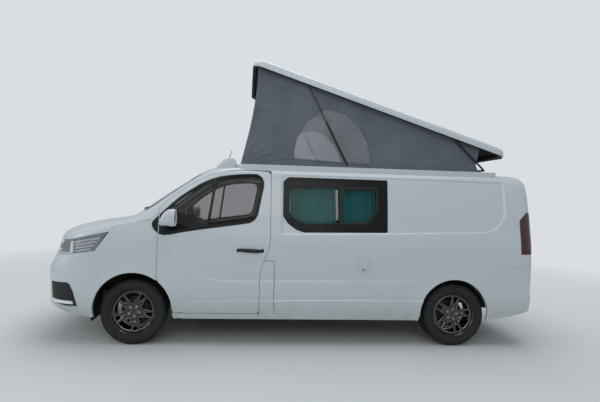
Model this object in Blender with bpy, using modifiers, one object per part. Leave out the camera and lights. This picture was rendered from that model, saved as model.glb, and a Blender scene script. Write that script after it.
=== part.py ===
"""Mid-size camper van with a front-lifting pop-up roof, built as separate pieces.

Forward is -X, the left side is -Y and up is +Z. The origin lies on the ground under the
middle of the van. The roof stands open, as it does at rest.
"""
import math
import bmesh
import bpy
from mathutils import Matrix, Vector

# Driving sizes of the whole van, in metres
body_length = 5.480
body_width = 1.956
roof_height = 1.970
wheelbase = 3.498
front_overhang = 1.014
front_track = 1.615
rear_track = 1.628
half_length = body_length / 2
half_width = body_width / 2
front_axle_x = -half_length + front_overhang
rear_axle_x = front_axle_x + wheelbase

# Walls, seams and clearances
wall = 0.055
skin = 0.012
glass_thickness = 0.010
glass_sunk = 0.004
seat_gap = 0.0003
moving_gap = 0.006
door_gap = 0.007
rebate = 0.020
crown_drop = 0.030
nose_depth = 0.90
tail_depth = 0.30
overrun = 0.40
centre_reach = 0.50

# Wheels
wheel_radius = 0.343
tyre_width = 0.235
rim_radius = 0.226
rim_width = 0.206
rim_wall = 0.012
rim_flange = 0.012
hub_radius = 0.075
hub_bore = 0.028
hub_depth = 0.034
hub_out = 0.030
spoke_depth = 0.030
turn_steps = 32
arch_radius_front = 0.410
arch_radius_rear = 0.385
arch_raise = 0.020

# Heights of the floor and the sills
sill_bottom = 0.290
sill_top = 0.346
sill_lip = 0.008
sill_inner = 0.780
sill_face = 0.926
floor_bottom = 0.420
floor_top = 0.460
floor_front_x = -1.250
floor_rear_x = 2.560
roof_edge_drop = 0.077
roof_edge_z = roof_height - roof_edge_drop
roof_front_x = -1.020

# Pop-up roof
pop_front_x = -0.685
pop_length = 3.130
pop_sink = 0.004
pop_bottom = roof_height - pop_sink
pop_edge = 0.062
pop_height = 0.104
pop_half_width = 0.775
pop_wall = 0.030
pop_corner = 0.120
pop_open_deg = 17.5
pop_front_open_x = -0.538
pop_rise = 1.112
pop_front_open_z = pop_bottom + pop_rise

collection_parts = bpy.data.collections.new("camper_van")
collection_cutters = bpy.data.collections.new("cutters")

# Body sections, from the sill up. Columns: height, front, nose depth, squareness of the
# nose, half width, rear, drop of the sides. All but the squareness are shares of
# roof_height, half_length, nose_depth, half_width, half_length and crown_drop.
BODY_SECTION_SHARES = (
    (0.147, -0.958, 0.92, 3.6, 0.948, 0.980, 0.0),
    (0.213, -0.996, 1.00, 4.2, 0.971, 0.996, 0.0),
    (0.371, -1.000, 1.00, 4.2, 0.992, 1.000, 0.0),
    (0.472, -0.978, 0.98, 3.8, 1.000, 0.999, 0.0),
    (0.558, -0.967, 0.84, 3.2, 0.995, 0.998, 0.3),
    (0.589, -0.954, 0.76, 3.0, 0.990, 0.998, 0.6),
    (0.612, -0.929, 0.67, 2.8, 0.985, 0.998, 0.8),
    (0.645, -0.843, 0.49, 2.5, 0.975, 0.998, 1.0),
    (0.670, -0.730, 0.30, 2.5, 0.967, 0.998, 1.0),
    (0.690, -0.679, 0.30, 2.5, 0.961, 0.998, 1.0),
    (0.731, -0.637, 0.36, 2.7, 0.949, 0.998, 0.9),
    (0.792, -0.578, 0.38, 2.8, 0.927, 0.998, 0.8),
    (0.863, -0.505, 0.38, 2.8, 0.899, 0.997, 0.8),
    (0.944, -0.416, 0.38, 2.7, 0.859, 0.989, 0.85),
    (0.980, -0.365, 0.44, 2.6, 0.792, 0.960, 1.0),
    (0.985, -0.336, 0.50, 2.6, 0.716, 0.931, 1.0),
    (0.988, -0.274, 0.56, 2.6, 0.562, 0.858, 1.0),
    (0.9892, -0.200, 0.56, 2.5, 0.300, 0.760, 0.0),
)
NOSE_STEPS = 7
TAIL_STEPS = 4
TAIL_SQUARENESS = 5.0

# Seams seen from the side, as shares of half_length and roof_height
DOOR_SHARES = (
    (-0.540, 0.000), (-0.148, 0.000), (-0.148, 0.396), (-0.137, 0.457), (-0.116, 0.523),
    (-0.111, 0.569), (-0.111, 0.934), (-0.122, 0.949), (-0.146, 0.957), (-0.226, 0.957),
    (-0.292, 0.948), (-0.358, 0.922), (-0.434, 0.862), (-0.500, 0.794), (-0.540, 0.739),
)
DOOR_GLASS_SHARES = (
    (-0.462, 0.770), (-0.462, 0.640), (-0.452, 0.622), (-0.306, 0.650), (-0.191, 0.675),
    (-0.170, 0.705), (-0.152, 0.817), (-0.148, 0.890), (-0.160, 0.915), (-0.182, 0.926),
    (-0.235, 0.926), (-0.292, 0.916), (-0.358, 0.887), (-0.420, 0.837),
)
SIDE_WINDOW_SHARES = (
    (-0.061, 0.711), (-0.061, 0.904), (-0.053, 0.921), (-0.040, 0.929), (0.362, 0.928),
    (0.369, 0.918), (0.361, 0.631), (0.018, 0.625), (-0.011, 0.635), (-0.042, 0.665),
)
BONNET_SHARES = (
    (-1.100, 0.546), (-0.883, 0.556), (-0.721, 0.607), (-0.693, 0.641), (-0.682, 0.665),
    (-0.682, 0.800), (-1.100, 0.800),
)
FRONT_BUMPER_SHARES = (
    (-1.100, 0.472), (-0.887, 0.476), (-0.775, 0.500), (-0.772, 0.457), (-0.748, 0.305),
    (-0.748, 0.051), (-1.100, 0.051),
)
HEADLAMP_SHARES = (
    (-1.100, 0.472), (-0.887, 0.476), (-0.775, 0.500), (-0.7212, 0.606), (-0.883, 0.556),
    (-1.100, 0.546),
)
NOSE_SHARES = (
    (-1.100, 0.051), (-0.748, 0.051), (-0.748, 0.305), (-0.772, 0.457), (-0.775, 0.500),
    (-0.7212, 0.606), (-0.883, 0.700), (-1.100, 0.700),
)
REAR_BUMPER_SHARES = (
    (0.730, 0.305), (0.778, 0.341), (0.827, 0.376), (0.861, 0.406), (0.870, 0.451),
    (1.100, 0.453), (1.100, 0.051), (0.730, 0.051),
)
TAIL_LAMP_SHARES = (
    (0.916, 0.528), (1.100, 0.528), (1.100, 0.764), (0.949, 0.764), (0.916, 0.716),
)
SLIDING_DOOR_SHARES = (
    (-0.104, 0.000), (0.354, 0.000), (0.354, 0.934), (-0.088, 0.934), (-0.088, 0.569),
    (-0.095, 0.508), (-0.104, 0.457),
)
SLIDING_GLASS_SHARES = (
    (-0.061, 0.690), (-0.061, 0.904), (-0.048, 0.924), (0.330, 0.924), (0.340, 0.900),
    (0.340, 0.660), (0.320, 0.640), (-0.030, 0.640),
)
REAR_CORNER_SHARES = (
    (0.878, 0.453), (0.8995, 0.962), (0.8995, 1.100), (1.100, 1.100), (1.100, 0.453),
)
# Seams seen from the front or the rear, as shares of half_width and roof_height
WINDSCREEN_SHARES = (
    (-0.845, 0.722), (-0.60, 0.712), (0.60, 0.712), (0.845, 0.722), (0.80, 0.800),
    (0.715, 0.925), (0.66, 0.937), (-0.66, 0.937), (-0.715, 0.925), (-0.80, 0.800),
)
TAILGATE_SHARES = (
    (-0.800, 0.462), (0.800, 0.462), (0.800, 0.760), (0.765, 0.900), (0.735, 0.938),
    (0.690, 0.948), (-0.690, 0.948), (-0.735, 0.938), (-0.765, 0.900), (-0.800, 0.760),
)
TAILGATE_GLASS_SHARES = (
    (-0.700, 0.640), (0.700, 0.640), (0.715, 0.760), (0.665, 0.900), (0.640, 0.912),
    (-0.640, 0.912), (-0.665, 0.900), (-0.715, 0.760),
)
GRILLE_HALF_WIDTH = 0.500


def clear_scene():
    for item in list(bpy.data.objects):
        bpy.data.objects.remove(item)
    for group in (collection_parts, collection_cutters):
        bpy.context.scene.collection.children.link(group)


def finish_material(name, colour, roughness, metallic=0.0):
    made = bpy.data.materials.get(name)
    if made is None:
        made = bpy.data.materials.new(name)
        made.use_nodes = True
        shader = made.node_tree.nodes["Principled BSDF"]
        shader.inputs["Base Color"].default_value = (*colour, 1.0)
        shader.inputs["Roughness"].default_value = roughness
        shader.inputs["Metallic"].default_value = metallic
    return made


FINISHES = {
    "paint": ((0.78, 0.80, 0.82), 0.30, 0.0),
    "black_plastic": ((0.03, 0.03, 0.03), 0.55, 0.0),
    "glass": ((0.05, 0.06, 0.07), 0.05, 0.0),
    "lamp": ((0.45, 0.45, 0.48), 0.10, 0.0),
    "red_lamp": ((0.25, 0.01, 0.01), 0.15, 0.0),
    "tyre": ((0.02, 0.02, 0.02), 0.85, 0.0),
    "alloy": ((0.10, 0.10, 0.11), 0.30, 1.0),
    "steel": ((0.20, 0.20, 0.21), 0.50, 1.0),
    "cast_iron": ((0.12, 0.12, 0.12), 0.60, 1.0),
    "seat_cloth": ((0.08, 0.08, 0.09), 0.90, 0.0),
    "tent_cloth": ((0.30, 0.31, 0.32), 0.90, 0.0),
    "curtain_cloth": ((0.05, 0.35, 0.36), 0.90, 0.0),
    "board": ((0.35, 0.33, 0.30), 0.60, 0.0),
    "aluminium": ((0.60, 0.60, 0.62), 0.35, 1.0),
}


def add_object(name, mesh, finish):
    """A piece of the van when finish is a name, a cutter when it is None."""
    made = bpy.data.objects.new(name, mesh)
    if finish is None:
        made.hide_render = True
        made.display_type = "WIRE"
        collection_cutters.objects.link(made)
    else:
        mesh.materials.append(finish_material(finish, *FINISHES[finish]))
        collection_parts.objects.link(made)
    return made


def mesh_from(shape, name):
    shape.normal_update()
    bmesh.ops.recalc_face_normals(shape, faces=shape.faces)
    mesh = bpy.data.meshes.new(name)
    shape.to_mesh(mesh)
    shape.free()
    return mesh


def combine(target, other, operation):
    step = target.modifiers.new(operation.lower(), "BOOLEAN")
    step.operation = operation
    step.solver = "EXACT"
    step.object = other
    return target


def prism(name, outline, axis, low, high, finish=None):
    """Extrude a closed outline along X, Y or Z between two places on that axis."""
    shape = bmesh.new()
    place = {
        "X": lambda u, v, w: (w, u, v),
        "Y": lambda u, v, w: (u, w, v),
        "Z": lambda u, v, w: (u, v, w),
    }[axis]
    corners = [shape.verts.new(place(u, v, low)) for u, v in outline]
    start = shape.faces.new(corners)
    grown = bmesh.ops.extrude_face_region(shape, geom=[start])
    moved = [item for item in grown["geom"] if isinstance(item, bmesh.types.BMVert)]
    bmesh.ops.translate(shape, verts=moved, vec=Vector(place(0.0, 0.0, high - low)))
    return add_object(name, mesh_from(shape, name), finish)


def box(name, low, high, finish=None):
    """A block between its lowest and its highest corner."""
    shape = bmesh.new()
    bmesh.ops.create_cube(shape, size=1.0)
    size = Vector(high) - Vector(low)
    middle = (Vector(high) + Vector(low)) / 2
    bmesh.ops.scale(shape, verts=shape.verts, vec=size)
    bmesh.ops.translate(shape, verts=shape.verts, vec=middle)
    return add_object(name, mesh_from(shape, name), finish)


def rod(name, start, end, radius, finish=None, sides=12):
    """A round bar between two points."""
    start = Vector(start)
    end = Vector(end)
    shape = bmesh.new()
    bmesh.ops.create_cone(shape, cap_ends=True, segments=sides, radius1=radius,
                          radius2=radius, depth=(end - start).length)
    turn = (end - start).to_track_quat("Z", "Y").to_matrix().to_4x4()
    shape.transform(Matrix.Translation((start + end) / 2) @ turn)
    return add_object(name, mesh_from(shape, name), finish)


def turned(name, profile, steps):
    """A ring turned about Z from a closed profile of (radius, height) points."""
    mesh = bpy.data.meshes.new(name)
    edges = [(i, (i + 1) % len(profile)) for i in range(len(profile))]
    mesh.from_pydata([(r, 0.0, h) for r, h in profile], edges, [])
    source = add_object(name + "_profile", mesh, None)
    screw = source.modifiers.new("turn", "SCREW")
    screw.steps = steps
    screw.render_steps = steps
    screw.use_merge_vertices = True
    screw.merge_threshold = 1e-5
    return baked(source, name)


def baked(source, name):
    """The evaluated mesh of an object in world space, with the object removed."""
    bpy.context.view_layer.update()
    graph = bpy.context.evaluated_depsgraph_get()
    mesh = bpy.data.meshes.new_from_object(source.evaluated_get(graph))
    mesh.transform(source.matrix_world)
    mesh.name = name
    bpy.data.objects.remove(source)
    shape = bmesh.new()
    shape.from_mesh(mesh)
    bmesh.ops.remove_doubles(shape, verts=shape.verts, dist=1e-6)
    bmesh.ops.recalc_face_normals(shape, faces=shape.faces)
    shape.to_mesh(mesh)
    shape.free()
    mesh.materials.clear()
    return mesh


def grown_outline(outline, gap):
    """The outline moved outwards by gap, or inwards when gap is below zero."""
    count = len(outline)
    area = sum(outline[i][0] * outline[(i + 1) % count][1]
               - outline[(i + 1) % count][0] * outline[i][1] for i in range(count))
    side = 1.0 if area > 0.0 else -1.0
    moved = []
    for i in range(count):
        before = Vector(outline[i]) - Vector(outline[i - 1])
        after = Vector(outline[(i + 1) % count]) - Vector(outline[i])
        before.normalize()
        after.normalize()
        normal = Vector((before.y + after.y, -before.x - after.x)) * side
        normal.normalize()
        spread = normal.dot(Vector((before.y, -before.x)) * side)
        moved.append(tuple(Vector(outline[i]) + normal * (gap / spread)))
    return moved


def side_outline(shares, gap=0.0):
    """Side-view points in metres. A height share of zero stands for the door sill."""
    points = [(x * half_length, z * roof_height if z else sill_top + sill_lip)
              for x, z in shares]
    return grown_outline(points, gap) if gap else points


def end_outline(shares, gap=0.0):
    points = [(y * half_width, z * roof_height) for y, z in shares]
    return grown_outline(points, gap) if gap else points


def rounded_rectangle(low_x, high_x, half_y, corner, steps=4):
    """A plan outline with round corners."""
    points = []
    for x, y, start in ((high_x, half_y, 0), (low_x, half_y, 90),
                        (low_x, -half_y, 180), (high_x, -half_y, 270)):
        middle_x = x - corner if x == high_x else x + corner
        middle_y = y - corner if y > 0.0 else y + corner
        for i in range(steps + 1):
            angle = math.radians(start + 90 * i / steps)
            points.append((middle_x + corner * math.cos(angle),
                           middle_y + corner * math.sin(angle)))
    return points


def section_sizes():
    """The body's sections in metres, one tuple a section, from the table of shares."""
    return [(z * roof_height, front * half_length, nose * nose_depth, square,
             w * half_width, rear * half_length, drop * crown_drop)
            for z, front, nose, square, w, rear, drop in BODY_SECTION_SHARES]


def inset_section(rows, index, inset):
    """A section moved inwards along the slopes of the front, the side and the rear."""
    z, front, nose, square, w, rear, drop = rows[index]
    below = rows[max(index - 1, 0)]
    above = rows[min(index + 1, len(rows) - 1)]
    rise = above[0] - below[0]
    slopes = []
    for column in (1, 4, 5):
        run = above[column] - below[column]
        length = math.hypot(rise, run)
        slopes.append((rise / length, abs(run) / length))
    (front_x, front_z), (side_y, side_z), (rear_x, rear_z) = slopes
    fall = inset * (max(front_z, side_z, rear_z) if index > 3 else 0.0)
    return (z - fall, front + inset * front_x, nose, square, w - inset * side_y,
            rear - inset * rear_x, drop)


def section_points(row):
    """One closed ring of points round the body."""
    z, front, nose, square, w, rear, drop = row
    half = []
    for i in range(NOSE_STEPS + 1):
        angle = math.pi / 2 * i / NOSE_STEPS
        y = w * math.sin(angle) ** (2 / square)
        x = front + nose - nose * math.cos(angle) ** (2 / square)
        half.append((x, y, z - drop * (y / half_width) ** 2))
    for i in range(TAIL_STEPS + 1):
        angle = math.pi / 2 * (1 - i / TAIL_STEPS)
        y = w * math.sin(angle) ** (2 / TAIL_SQUARENESS)
        x = rear - tail_depth + tail_depth * math.cos(angle) ** (2 / TAIL_SQUARENESS)
        half.append((x, y, z - drop * (y / half_width) ** 2))
    mirrored = [(x, -y, height) for x, y, height in reversed(half[1:-1])]
    return half + mirrored


def ring_loft(name, rings, finish=None):
    """A closed form through rings of equal point counts, split alike on both sides."""
    shape = bmesh.new()
    loops = [[shape.verts.new(point) for point in ring] for ring in rings]
    count = len(loops[0])
    for low, high in zip(loops, loops[1:]):
        for i in range(count):
            j = (i + 1) % count
            if i < count / 2:
                shape.faces.new((low[i], low[j], high[j]))
                shape.faces.new((low[i], high[j], high[i]))
            else:
                shape.faces.new((low[i], low[j], high[i]))
                shape.faces.new((low[j], high[j], high[i]))
    shape.faces.new(loops[0])
    shape.faces.new(loops[-1])
    return add_object(name, mesh_from(shape, name), finish)


def body_core(name, inset, open_below):
    """The closed form inside the body's skin at a depth, lofted through the sections."""
    rows = section_sizes()
    rings = [inset_section(rows, i, inset) for i in range(len(rows))]
    if open_below:
        rings.insert(0, (rings[0][0] - overrun, *rings[0][1:]))
    return ring_loft(name, [section_points(ring) for ring in rings])


def wheel_space(name, axle_x, radius):
    """The round space that both wheels of an axle take in the body's sides."""
    return rod(name, (axle_x, -half_width - overrun, wheel_radius + arch_raise),
               (axle_x, half_width + overrun, wheel_radius + arch_raise), radius, None, 36)


clear_scene()
outer = body_core("core_outer", 0.0, False)
inner = body_core("core_inner", wall, True)
under_skin = body_core("core_under_skin", skin, True)
over_lining = body_core("core_over_lining", skin - seat_gap * 4, False)
glass_outer = body_core("core_glass_outer", glass_sunk, False)
glass_inner = body_core("core_glass_inner", glass_sunk + glass_thickness, True)
lining = body_core("core_lining", wall + seat_gap, False)
arch_front = wheel_space("arch_front", front_axle_x, arch_radius_front)
arch_rear = wheel_space("arch_rear", rear_axle_x - arch_raise, arch_radius_rear)
SIDES = (("left", -1.0), ("right", 1.0))


def side_range(side, near, far):
    """Two places on Y, in rising order, at two distances from the middle on one side."""
    return sorted((side * near, side * far))


def shell_piece(piece):
    combine(piece, outer, "INTERSECT")
    return combine(piece, inner, "DIFFERENCE")


def pane(piece):
    combine(piece, glass_outer, "INTERSECT")
    return combine(piece, glass_inner, "DIFFERENCE")


def fixed_cutter(name, shares, side=0.0, gap=seat_gap):
    """A cutter across the van, or across one side, through a side outline."""
    if side:
        low, high = side_range(side, centre_reach, half_width + overrun)
    else:
        low, high = -half_width - overrun, half_width + overrun
    return prism(name, side_outline(shares, gap), "Y", low, high)


nose_cutter = fixed_cutter("cut_nose", NOSE_SHARES)
bonnet_cutter = fixed_cutter("cut_bonnet", BONNET_SHARES, 0.0, moving_gap)
rear_bumper_cutter = fixed_cutter("cut_rear_bumper", REAR_BUMPER_SHARES)
rear_corner_cutter = fixed_cutter("cut_rear_corner", REAR_CORNER_SHARES)
tail_lamp_cutters = {label: fixed_cutter("cut_tail_lamp_" + label, TAIL_LAMP_SHARES, side)
                     for label, side in SIDES}
door_cutters = {label: fixed_cutter("cut_door_" + label, DOOR_SHARES, side, door_gap)
                for label, side in SIDES}
tailgate_low_x = half_length - tail_depth
tailgate_cutter = prism("cut_tailgate", end_outline(TAILGATE_SHARES, moving_gap), "X",
                        tailgate_low_x, half_length + overrun)
screen_front_x = -half_length * 0.80
screen_rear_x = -half_length * 0.30
screen_cutter = prism("cut_windscreen", end_outline(WINDSCREEN_SHARES, seat_gap), "X",
                      screen_front_x, screen_rear_x)
top_z = roof_height + overrun


def build_front():
    reach = half_width + overrun
    bumper = prism("front_bumper", side_outline(FRONT_BUMPER_SHARES), "Y", -reach, reach,
                   "paint")
    combine(shell_piece(bumper), arch_front, "DIFFERENCE")
    grille = prism("grille", side_outline(HEADLAMP_SHARES, -seat_gap), "Y", -GRILLE_HALF_WIDTH,
                   GRILLE_HALF_WIDTH, "black_plastic")
    combine(shell_piece(grille), bonnet_cutter, "DIFFERENCE")
    for label, side in SIDES:
        low, high = side_range(side, GRILLE_HALF_WIDTH + seat_gap, reach)
        lamp = prism("headlamp_" + label, side_outline(HEADLAMP_SHARES, -seat_gap), "Y",
                     low, high, "lamp")
        combine(shell_piece(lamp), bonnet_cutter, "DIFFERENCE")
    bonnet = prism("bonnet", side_outline(BONNET_SHARES), "Y", -reach, reach, "paint")
    shell_piece(bonnet)


wing_rear_x = DOOR_SHARES[0][0] * half_length - door_gap
wing_top_z = 0.664 * roof_height


def build_wings():
    for label, side in SIDES:
        low, high = side_range(side, centre_reach, half_width + overrun)
        outline = ((wing_rear_x, sill_top), (wing_rear_x, wing_top_z),
                   (-half_length * 0.80, wing_top_z), (-half_length * 0.80, sill_top))
        wing = prism("wing_" + label, outline, "Y", low, high, "paint")
        shell_piece(wing)
        for cutter in (arch_front, nose_cutter, bonnet_cutter):
            combine(wing, cutter, "DIFFERENCE")


def build_cab_frame():
    reach = half_width + overrun
    low_z = wing_top_z + seat_gap
    outline = ((-half_length, low_z), (DOOR_SHARES[2][0] * half_length, low_z),
               (DOOR_SHARES[2][0] * half_length, roof_edge_z - seat_gap),
               (roof_front_x - seat_gap, roof_edge_z - seat_gap),
               (roof_front_x - seat_gap, top_z), (-half_length, top_z))
    frame = prism("cab_frame", outline, "Y", -reach, reach, "paint")
    shell_piece(frame)
    for cutter in (bonnet_cutter, screen_cutter, door_cutters["left"], door_cutters["right"]):
        combine(frame, cutter, "DIFFERENCE")
    screen = prism("windscreen", end_outline(WINDSCREEN_SHARES), "X", screen_front_x,
                   screen_rear_x, "glass")
    pane(screen)


def lipped_panel(name, make_prism):
    """A panel with its outer skin wider than its inner part, by the rebate."""
    panel = make_prism(name, 0.0, "paint")
    combine(panel, outer, "INTERSECT")
    combine(panel, under_skin, "DIFFERENCE")
    inside = make_prism(name + "_inside", -rebate, None)
    combine(inside, over_lining, "INTERSECT")
    combine(inside, inner, "DIFFERENCE")
    combine(panel, inside, "UNION")
    return panel


def build_doors():
    for label, side in SIDES:
        low, high = side_range(side, centre_reach, half_width + overrun)

        def door_prism(name, gap, finish, low=low, high=high):
            return prism(name, side_outline(DOOR_SHARES, gap), "Y", low, high, finish)

        door = lipped_panel("door_" + label, door_prism)
        hole = fixed_cutter("cut_door_glass_" + label, DOOR_GLASS_SHARES, side)
        combine(door, hole, "DIFFERENCE")
        combine(door, arch_front, "DIFFERENCE")
        glass = prism("door_glass_" + label, side_outline(DOOR_GLASS_SHARES), "Y", low, high,
                      "glass")
        pane(glass)


def build_sides():
    for label, side in SIDES:
        low, high = side_range(side, centre_reach, half_width + overrun)
        front_x = DOOR_SHARES[2][0] * half_length
        outline = ((front_x, sill_top), (half_length, sill_top),
                   (half_length, roof_edge_z - seat_gap), (front_x, roof_edge_z - seat_gap))
        panel = prism("side_" + label, outline, "Y", low, high, "paint")
        shell_piece(panel)
        cutters = [door_cutters[label], arch_rear, rear_bumper_cutter, rear_corner_cutter]
        if label == "left":
            cutters.append(fixed_cutter("cut_side_window", SIDE_WINDOW_SHARES, side))
        else:
            cutters.append(fixed_cutter("cut_sliding_door", SLIDING_DOOR_SHARES, side))
        for cutter in cutters:
            combine(panel, cutter, "DIFFERENCE")
    low, high = side_range(-1.0, centre_reach, half_width + overrun)
    pane(prism("side_window", side_outline(SIDE_WINDOW_SHARES), "Y", low, high, "glass"))
    low, high = side_range(1.0, centre_reach, half_width + overrun)
    slider = prism("sliding_door", side_outline(SLIDING_DOOR_SHARES), "Y", low, high, "paint")
    shell_piece(slider)
    combine(slider, fixed_cutter("cut_slider_glass", SLIDING_GLASS_SHARES, 1.0), "DIFFERENCE")
    pane(prism("sliding_door_glass", side_outline(SLIDING_GLASS_SHARES), "Y", low, high,
               "glass"))


rear_seam_x = REAR_CORNER_SHARES[1][0] * half_length - 2 * seat_gap
hatch_front_x = -0.35
hatch_rear_x = 1.75
hatch_half_width = 0.52
hatch_corner = 0.08


def build_roof():
    reach = half_width + overrun
    outline = ((roof_front_x, roof_edge_z), (rear_seam_x - seat_gap, roof_edge_z),
               (rear_seam_x - seat_gap, top_z), (roof_front_x, top_z))
    roof = prism("roof", outline, "Y", -reach, reach, "paint")
    shell_piece(roof)
    hatch = prism("cut_hatch", rounded_rectangle(hatch_front_x, hatch_rear_x,
                                                 hatch_half_width, hatch_corner),
                  "Z", floor_top, top_z)
    combine(roof, hatch, "DIFFERENCE")


def build_rear():
    reach = half_width + overrun
    frame = prism("rear_frame", side_outline(REAR_CORNER_SHARES), "Y", -reach, reach,
                  "paint")
    shell_piece(frame)
    combine(frame, tailgate_cutter, "DIFFERENCE")
    for label, side in SIDES:
        combine(frame, tail_lamp_cutters[label], "DIFFERENCE")
        low, high = side_range(side, centre_reach, reach)
        lamp = prism("tail_lamp_" + label, side_outline(TAIL_LAMP_SHARES), "Y", low, high,
                     "red_lamp")
        shell_piece(lamp)
        combine(lamp, tailgate_cutter, "DIFFERENCE")

    def gate_prism(name, gap, finish):
        return prism(name, end_outline(TAILGATE_SHARES, gap), "X", tailgate_low_x,
                     half_length + overrun, finish)

    gate = lipped_panel("tailgate", gate_prism)
    hole = prism("cut_tailgate_glass", end_outline(TAILGATE_GLASS_SHARES, seat_gap), "X",
                 tailgate_low_x, half_length + overrun)
    combine(gate, hole, "DIFFERENCE")
    pane(prism("tailgate_glass", end_outline(TAILGATE_GLASS_SHARES), "X", tailgate_low_x,
               half_length + overrun, "glass"))
    bumper = prism("rear_bumper", side_outline(REAR_BUMPER_SHARES), "Y", -reach, reach,
                   "paint")
    combine(shell_piece(bumper), arch_rear, "DIFFERENCE")


build_front()
build_wings()
build_cab_frame()
build_doors()
build_sides()
build_roof()
build_rear()

# Wheels, hubs and axles
flange_depth = 0.008
flange_radius = rim_radius + rim_flange
barrel_radius = rim_radius - rim_wall
bead_half = rim_width / 2 - flange_depth - seat_gap
disc_lift = 0.022
shoulder = 0.012
tread_round = 0.034
bead_rise = 0.004
spindle_radius = 0.030
flange_hub_radius = 0.068
flange_hub_depth = 0.018
brake_radius = 0.150
brake_depth = 0.022
WINDOW_REACH_SHARE = 0.93
WIDE_WINDOW = (0.46, 17.0)
NARROW_WINDOW = (0.62, 8.5)
SPOKES = 5


def tyre_mesh():
    half = tyre_width / 2
    side = [(rim_radius + seat_gap, bead_half), (flange_radius + bead_rise, bead_half),
            (flange_radius + tread_round, half), (wheel_radius - tread_round, half),
            (wheel_radius - shoulder, half - shoulder), (wheel_radius, half - tread_round)]
    profile = side + [(radius, -place) for radius, place in reversed(side)]
    return turned("tyre", profile, turn_steps)


def window_cutter():
    """Ten openings round the wheel's disc, wide and narrow in turn, as one cutter."""
    shape = bmesh.new()
    reach = barrel_radius * WINDOW_REACH_SHARE
    for i in range(SPOKES):
        for turn, (near_share, spread) in ((0.0, WIDE_WINDOW), (0.5, NARROW_WINDOW)):
            middle = 2 * math.pi * (i + turn) / SPOKES
            half = math.radians(spread)
            corners = [(barrel_radius * near_share, middle),
                       (reach, middle - half), (reach, middle + half)]
            points = [(r * math.cos(a), r * math.sin(a)) for r, a in corners]
            start = shape.faces.new([shape.verts.new((x, y, -rim_width)) for x, y in points])
            grown = bmesh.ops.extrude_face_region(shape, geom=[start])
            moved = [item for item in grown["geom"] if isinstance(item, bmesh.types.BMVert)]
            bmesh.ops.translate(shape, verts=moved, vec=Vector((0.0, 0.0, 2 * rim_width)))
    return add_object("cut_rim_windows", mesh_from(shape, "cut_rim_windows"), None)


def rim_mesh():
    half = rim_width / 2
    front = hub_out + hub_depth
    profile = [
        (flange_radius, half), (flange_radius, half - flange_depth),
        (rim_radius, half - flange_depth), (rim_radius, -half + flange_depth),
        (flange_radius, -half + flange_depth), (flange_radius, -half),
        (barrel_radius, -half), (barrel_radius, front + disc_lift - spoke_depth),
        (hub_radius, hub_out), (hub_bore, hub_out), (hub_bore, front),
        (hub_radius, front), (barrel_radius, front + disc_lift), (barrel_radius, half),
    ]
    blank = add_object("rim_blank", turned("rim_blank", profile, turn_steps), None)
    combine(blank, window_cutter(), "DIFFERENCE")
    return baked(blank, "rim")


def place_wheels():
    tyre = tyre_mesh()
    rim = rim_mesh()
    for end, axle_x, track in (("front", front_axle_x, front_track),
                               ("rear", rear_axle_x, rear_track)):
        for label, side in SIDES:
            turn = Matrix.Rotation(-side * math.pi / 2, 4, "X")
            spot = Matrix.Translation((axle_x, side * track / 2, wheel_radius))
            for kind, mesh, finish in (("tyre", tyre, "tyre"), ("rim", rim, "alloy")):
                made = add_object("%s_%s_%s" % (kind, end, label), mesh.copy(), finish)
                made.matrix_world = spot @ turn


joint_inset = 0.1075
ball_joint_y = front_track / 2 - joint_inset
ball_joint_z = 0.205
tower_inset = 0.080
tower_y = ball_joint_y - tower_inset
tower_z = 0.820
strut_radius = 0.028
upright_depth = 0.036
upright_half = 0.045
upright_top = 0.440
upright_lift = 0.012
ball_pin_radius = 0.012
hub_inset = 0.114


def king_pin(z):
    """The distance of the steering axis from the middle at a height."""
    share = (z - ball_joint_z) / (tower_z - ball_joint_z)
    return ball_joint_y + share * (tower_y - ball_joint_y)


def hub_parts(name, axle_x, side, track):
    """The flange, the brake disc and the spindle behind one wheel, as cutters to join."""
    middle = track / 2
    face = middle + hub_out - seat_gap
    made = []
    for part, near, far, radius in (
            ("flange", face - flange_hub_depth, face, flange_hub_radius),
            ("disc", middle - brake_depth, middle + seat_gap, brake_radius),
            ("spindle", middle - joint_inset - upright_depth, face, spindle_radius)):
        made.append(rod(name + "_" + part, (axle_x, side * near, wheel_radius),
                        (axle_x, side * far, wheel_radius), radius, None, 14))
    return made


def build_knuckles():
    lean = math.atan2(ball_joint_y - tower_y, tower_z - ball_joint_z)
    strut_top = tower_z - strut_radius * math.sin(lean)
    for label, side in SIDES:
        near = king_pin(ball_joint_z) - upright_depth
        low, high = side_range(side, near, king_pin(ball_joint_z))
        knuckle = box("knuckle_" + label,
                      (front_axle_x - upright_half, low, ball_joint_z + upright_lift),
                      (front_axle_x + upright_half, high, upright_top), "cast_iron")
        strut = rod("knuckle_strut_" + label,
                    (front_axle_x, side * king_pin(upright_top - strut_radius),
                     upright_top - strut_radius),
                    (front_axle_x, side * king_pin(strut_top), strut_top), strut_radius)
        pin_low = ball_joint_z + ball_pin_radius * math.sin(lean)
        pin_top = ball_joint_z + upright_lift * 3
        pin = rod("knuckle_pin_" + label, (front_axle_x, side * king_pin(pin_low), pin_low),
                  (front_axle_x, side * king_pin(pin_top), pin_top), ball_pin_radius)
        hub = hub_parts("knuckle_" + label, front_axle_x, side, front_track)
        for part in hub + [strut, pin]:
            combine(knuckle, part, "UNION")


rail_inner = 0.360
rail_outer = 0.440
rail_low = 0.380
rail_top = 0.470
cross_low = 0.150
cross_top = 0.230
cross_half = 0.120
arm_low = 0.165
arm_pad = 0.035
tower_plate = 0.020
tower_half = 0.070
engine_front_x = -2.300
engine_rear_x = -1.780
engine_top = 0.980
engine_low = 0.300


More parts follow.
